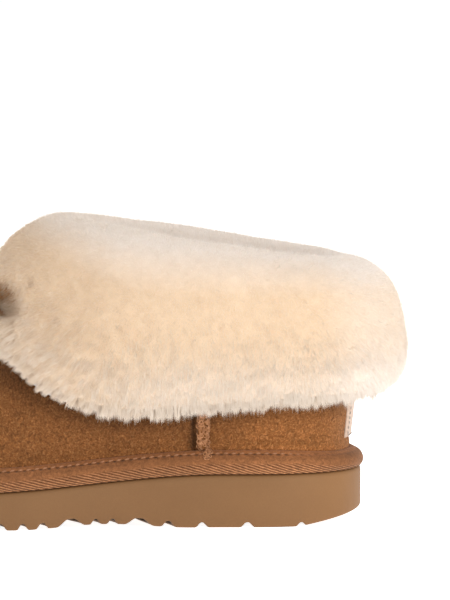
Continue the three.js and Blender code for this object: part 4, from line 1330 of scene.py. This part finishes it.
# The hem's wool is a copy of the long wool painted darker, as painted shade, and lighter over the front.
hem_wool_painted_shade = hair_finish("hem_wool_painted_shade", dimmed(fur_stops, 0.9), dimmed(pale_fur_stops, 0.9), 0.4, 1.17)
stretches = [
    ("cuff_fur_long", LONG_HAIRS, BODY_SPREAD, 2, long_wool),
    ("cuff_fur_short", SHORT_HAIRS, FUZZ_SPREAD, 1, long_wool),
    ("cuff_fur_hem_1", HEM_HAIRS, HEM_SPREAD, 3, hem_wool_painted_shade),
    ("cuff_fur_hem_2", HEM_HAIRS, HEM_SPREAD, 3, hem_wool_painted_shade),
]
for seed, (name, count, spread, levels, finish) in enumerate(stretches):
    hairs = fur_hairs(count, spread, levels, np.random.default_rng(101 + seed))
    fur = make_piece(name, *hairs[:2], finish, hairs[2])
    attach(fur, "root")

# Floor, light and camera
# The boot stands on a plain white floor in even light from all round, with a soft lamp off its heel end on
# the outer side. A long lens looks at the outer side, and the toe lies past the edge of the picture.
PICTURE = (450, 600)
MM_A_PIXEL = 0.444
HEEL_PIXEL, FLOOR_PIXEL = 361, 526
NEAR_EDGE = 45
ELEVATION = math.radians(5.5)
CAMERA_DISTANCE, SENSOR_WIDTH = 2000, 36
LAMP_PLACE, LAMP_TARGET, LAMP_SIZE, LAMP_WATTS = (-330, 600, 200), (70, 0, 60), 0.35, 1.8
SKY_GREYS, SKY_STRENGTH = [(0.25, 1), (0.8, 0.9)], 1.02
FLOOR_REACH, FLOOR_CELLS, FLOOR_GLOW = 3000, 24, 0.97

floor_line = np.linspace(-FLOOR_REACH, FLOOR_REACH, FLOOR_CELLS)
floor_x, floor_y = np.meshgrid(floor_line, floor_line, indexing="ij")
floor_finish, floor_tree, floor_shader = new_finish("white_floor", 0.9, specular=0.1)
floor_white = grey_ramp(floor_tree, noise(floor_tree, 3, 2), [(0.3, 0.93), (0.7, 0.96)])
floor_tree.links.new(floor_white, floor_shader.inputs["Base Color"])
floor_tree.links.new(floor_white, floor_shader.inputs["Emission Color"])
floor_shader.inputs["Emission Strength"].default_value = FLOOR_GLOW
floor_points = np.stack([floor_x, floor_y, np.zeros_like(floor_x)], -1).reshape(-1, 3)
floor_faces = band_faces(FLOOR_CELLS, FLOOR_CELLS, closed_columns=False)[:, ::-1]
floor = make_piece("studio_floor", floor_points, floor_faces, floor_finish)

world = bpy.data.worlds.new("studio_light")
world.use_nodes = True
sky_way = world.node_tree.nodes.new("ShaderNodeTexCoord")
sky_height = world.node_tree.nodes.new("ShaderNodeSeparateXYZ")
world.node_tree.links.new(sky_way.outputs["Generated"], sky_height.inputs["Vector"])
sky = grey_ramp(world.node_tree, sky_height.outputs["Z"], SKY_GREYS)
world.node_tree.links.new(sky, world.node_tree.nodes["Background"].inputs["Color"])
world.node_tree.nodes["Background"].inputs["Strength"].default_value = SKY_STRENGTH
bpy.context.scene.world = world
bpy.context.scene.view_settings.view_transform = "Standard"


def at(x, y, z):
    """A place measured from the back of the sole, in millimetres, as a point of the frame."""
    return Vector(np.array([x, y, z]) * MM + HEEL_PLACE)


def stood(name, data, place, way):
    """A lamp or a camera in the scene, which looks along a way from its place."""
    holder = bpy.data.objects.new(name, data)
    holder.location = place
    holder.rotation_euler = way.to_track_quat("-Z", "Y").to_euler()
    bpy.context.scene.collection.objects.link(holder)
    return holder


lamp = bpy.data.lights.new("heel_lamp", "AREA")
lamp.shape = "DISK"
lamp.size = LAMP_SIZE
lamp.energy = LAMP_WATTS
stood("heel_lamp", lamp, at(*LAMP_PLACE), at(*LAMP_TARGET) - at(*LAMP_PLACE))

picture_middle_x = (HEEL_PIXEL - PICTURE[0] / 2) * MM_A_PIXEL
picture_middle_up = (FLOOR_PIXEL - PICTURE[1] / 2) * MM_A_PIXEL - NEAR_EDGE * math.sin(ELEVATION)
aim = at(picture_middle_x, 0, picture_middle_up / math.cos(ELEVATION))
back_off = Vector((0, math.cos(ELEVATION), math.sin(ELEVATION))) * CAMERA_DISTANCE * MM
camera_data = bpy.data.cameras.new("photo_camera")
camera_data.sensor_width = SENSOR_WIDTH
camera_data.lens = SENSOR_WIDTH * CAMERA_DISTANCE / (PICTURE[1] * MM_A_PIXEL)
camera_data.clip_end = 50
bpy.context.scene.camera = stood("photo_camera", camera_data, aim + back_off, -back_off)
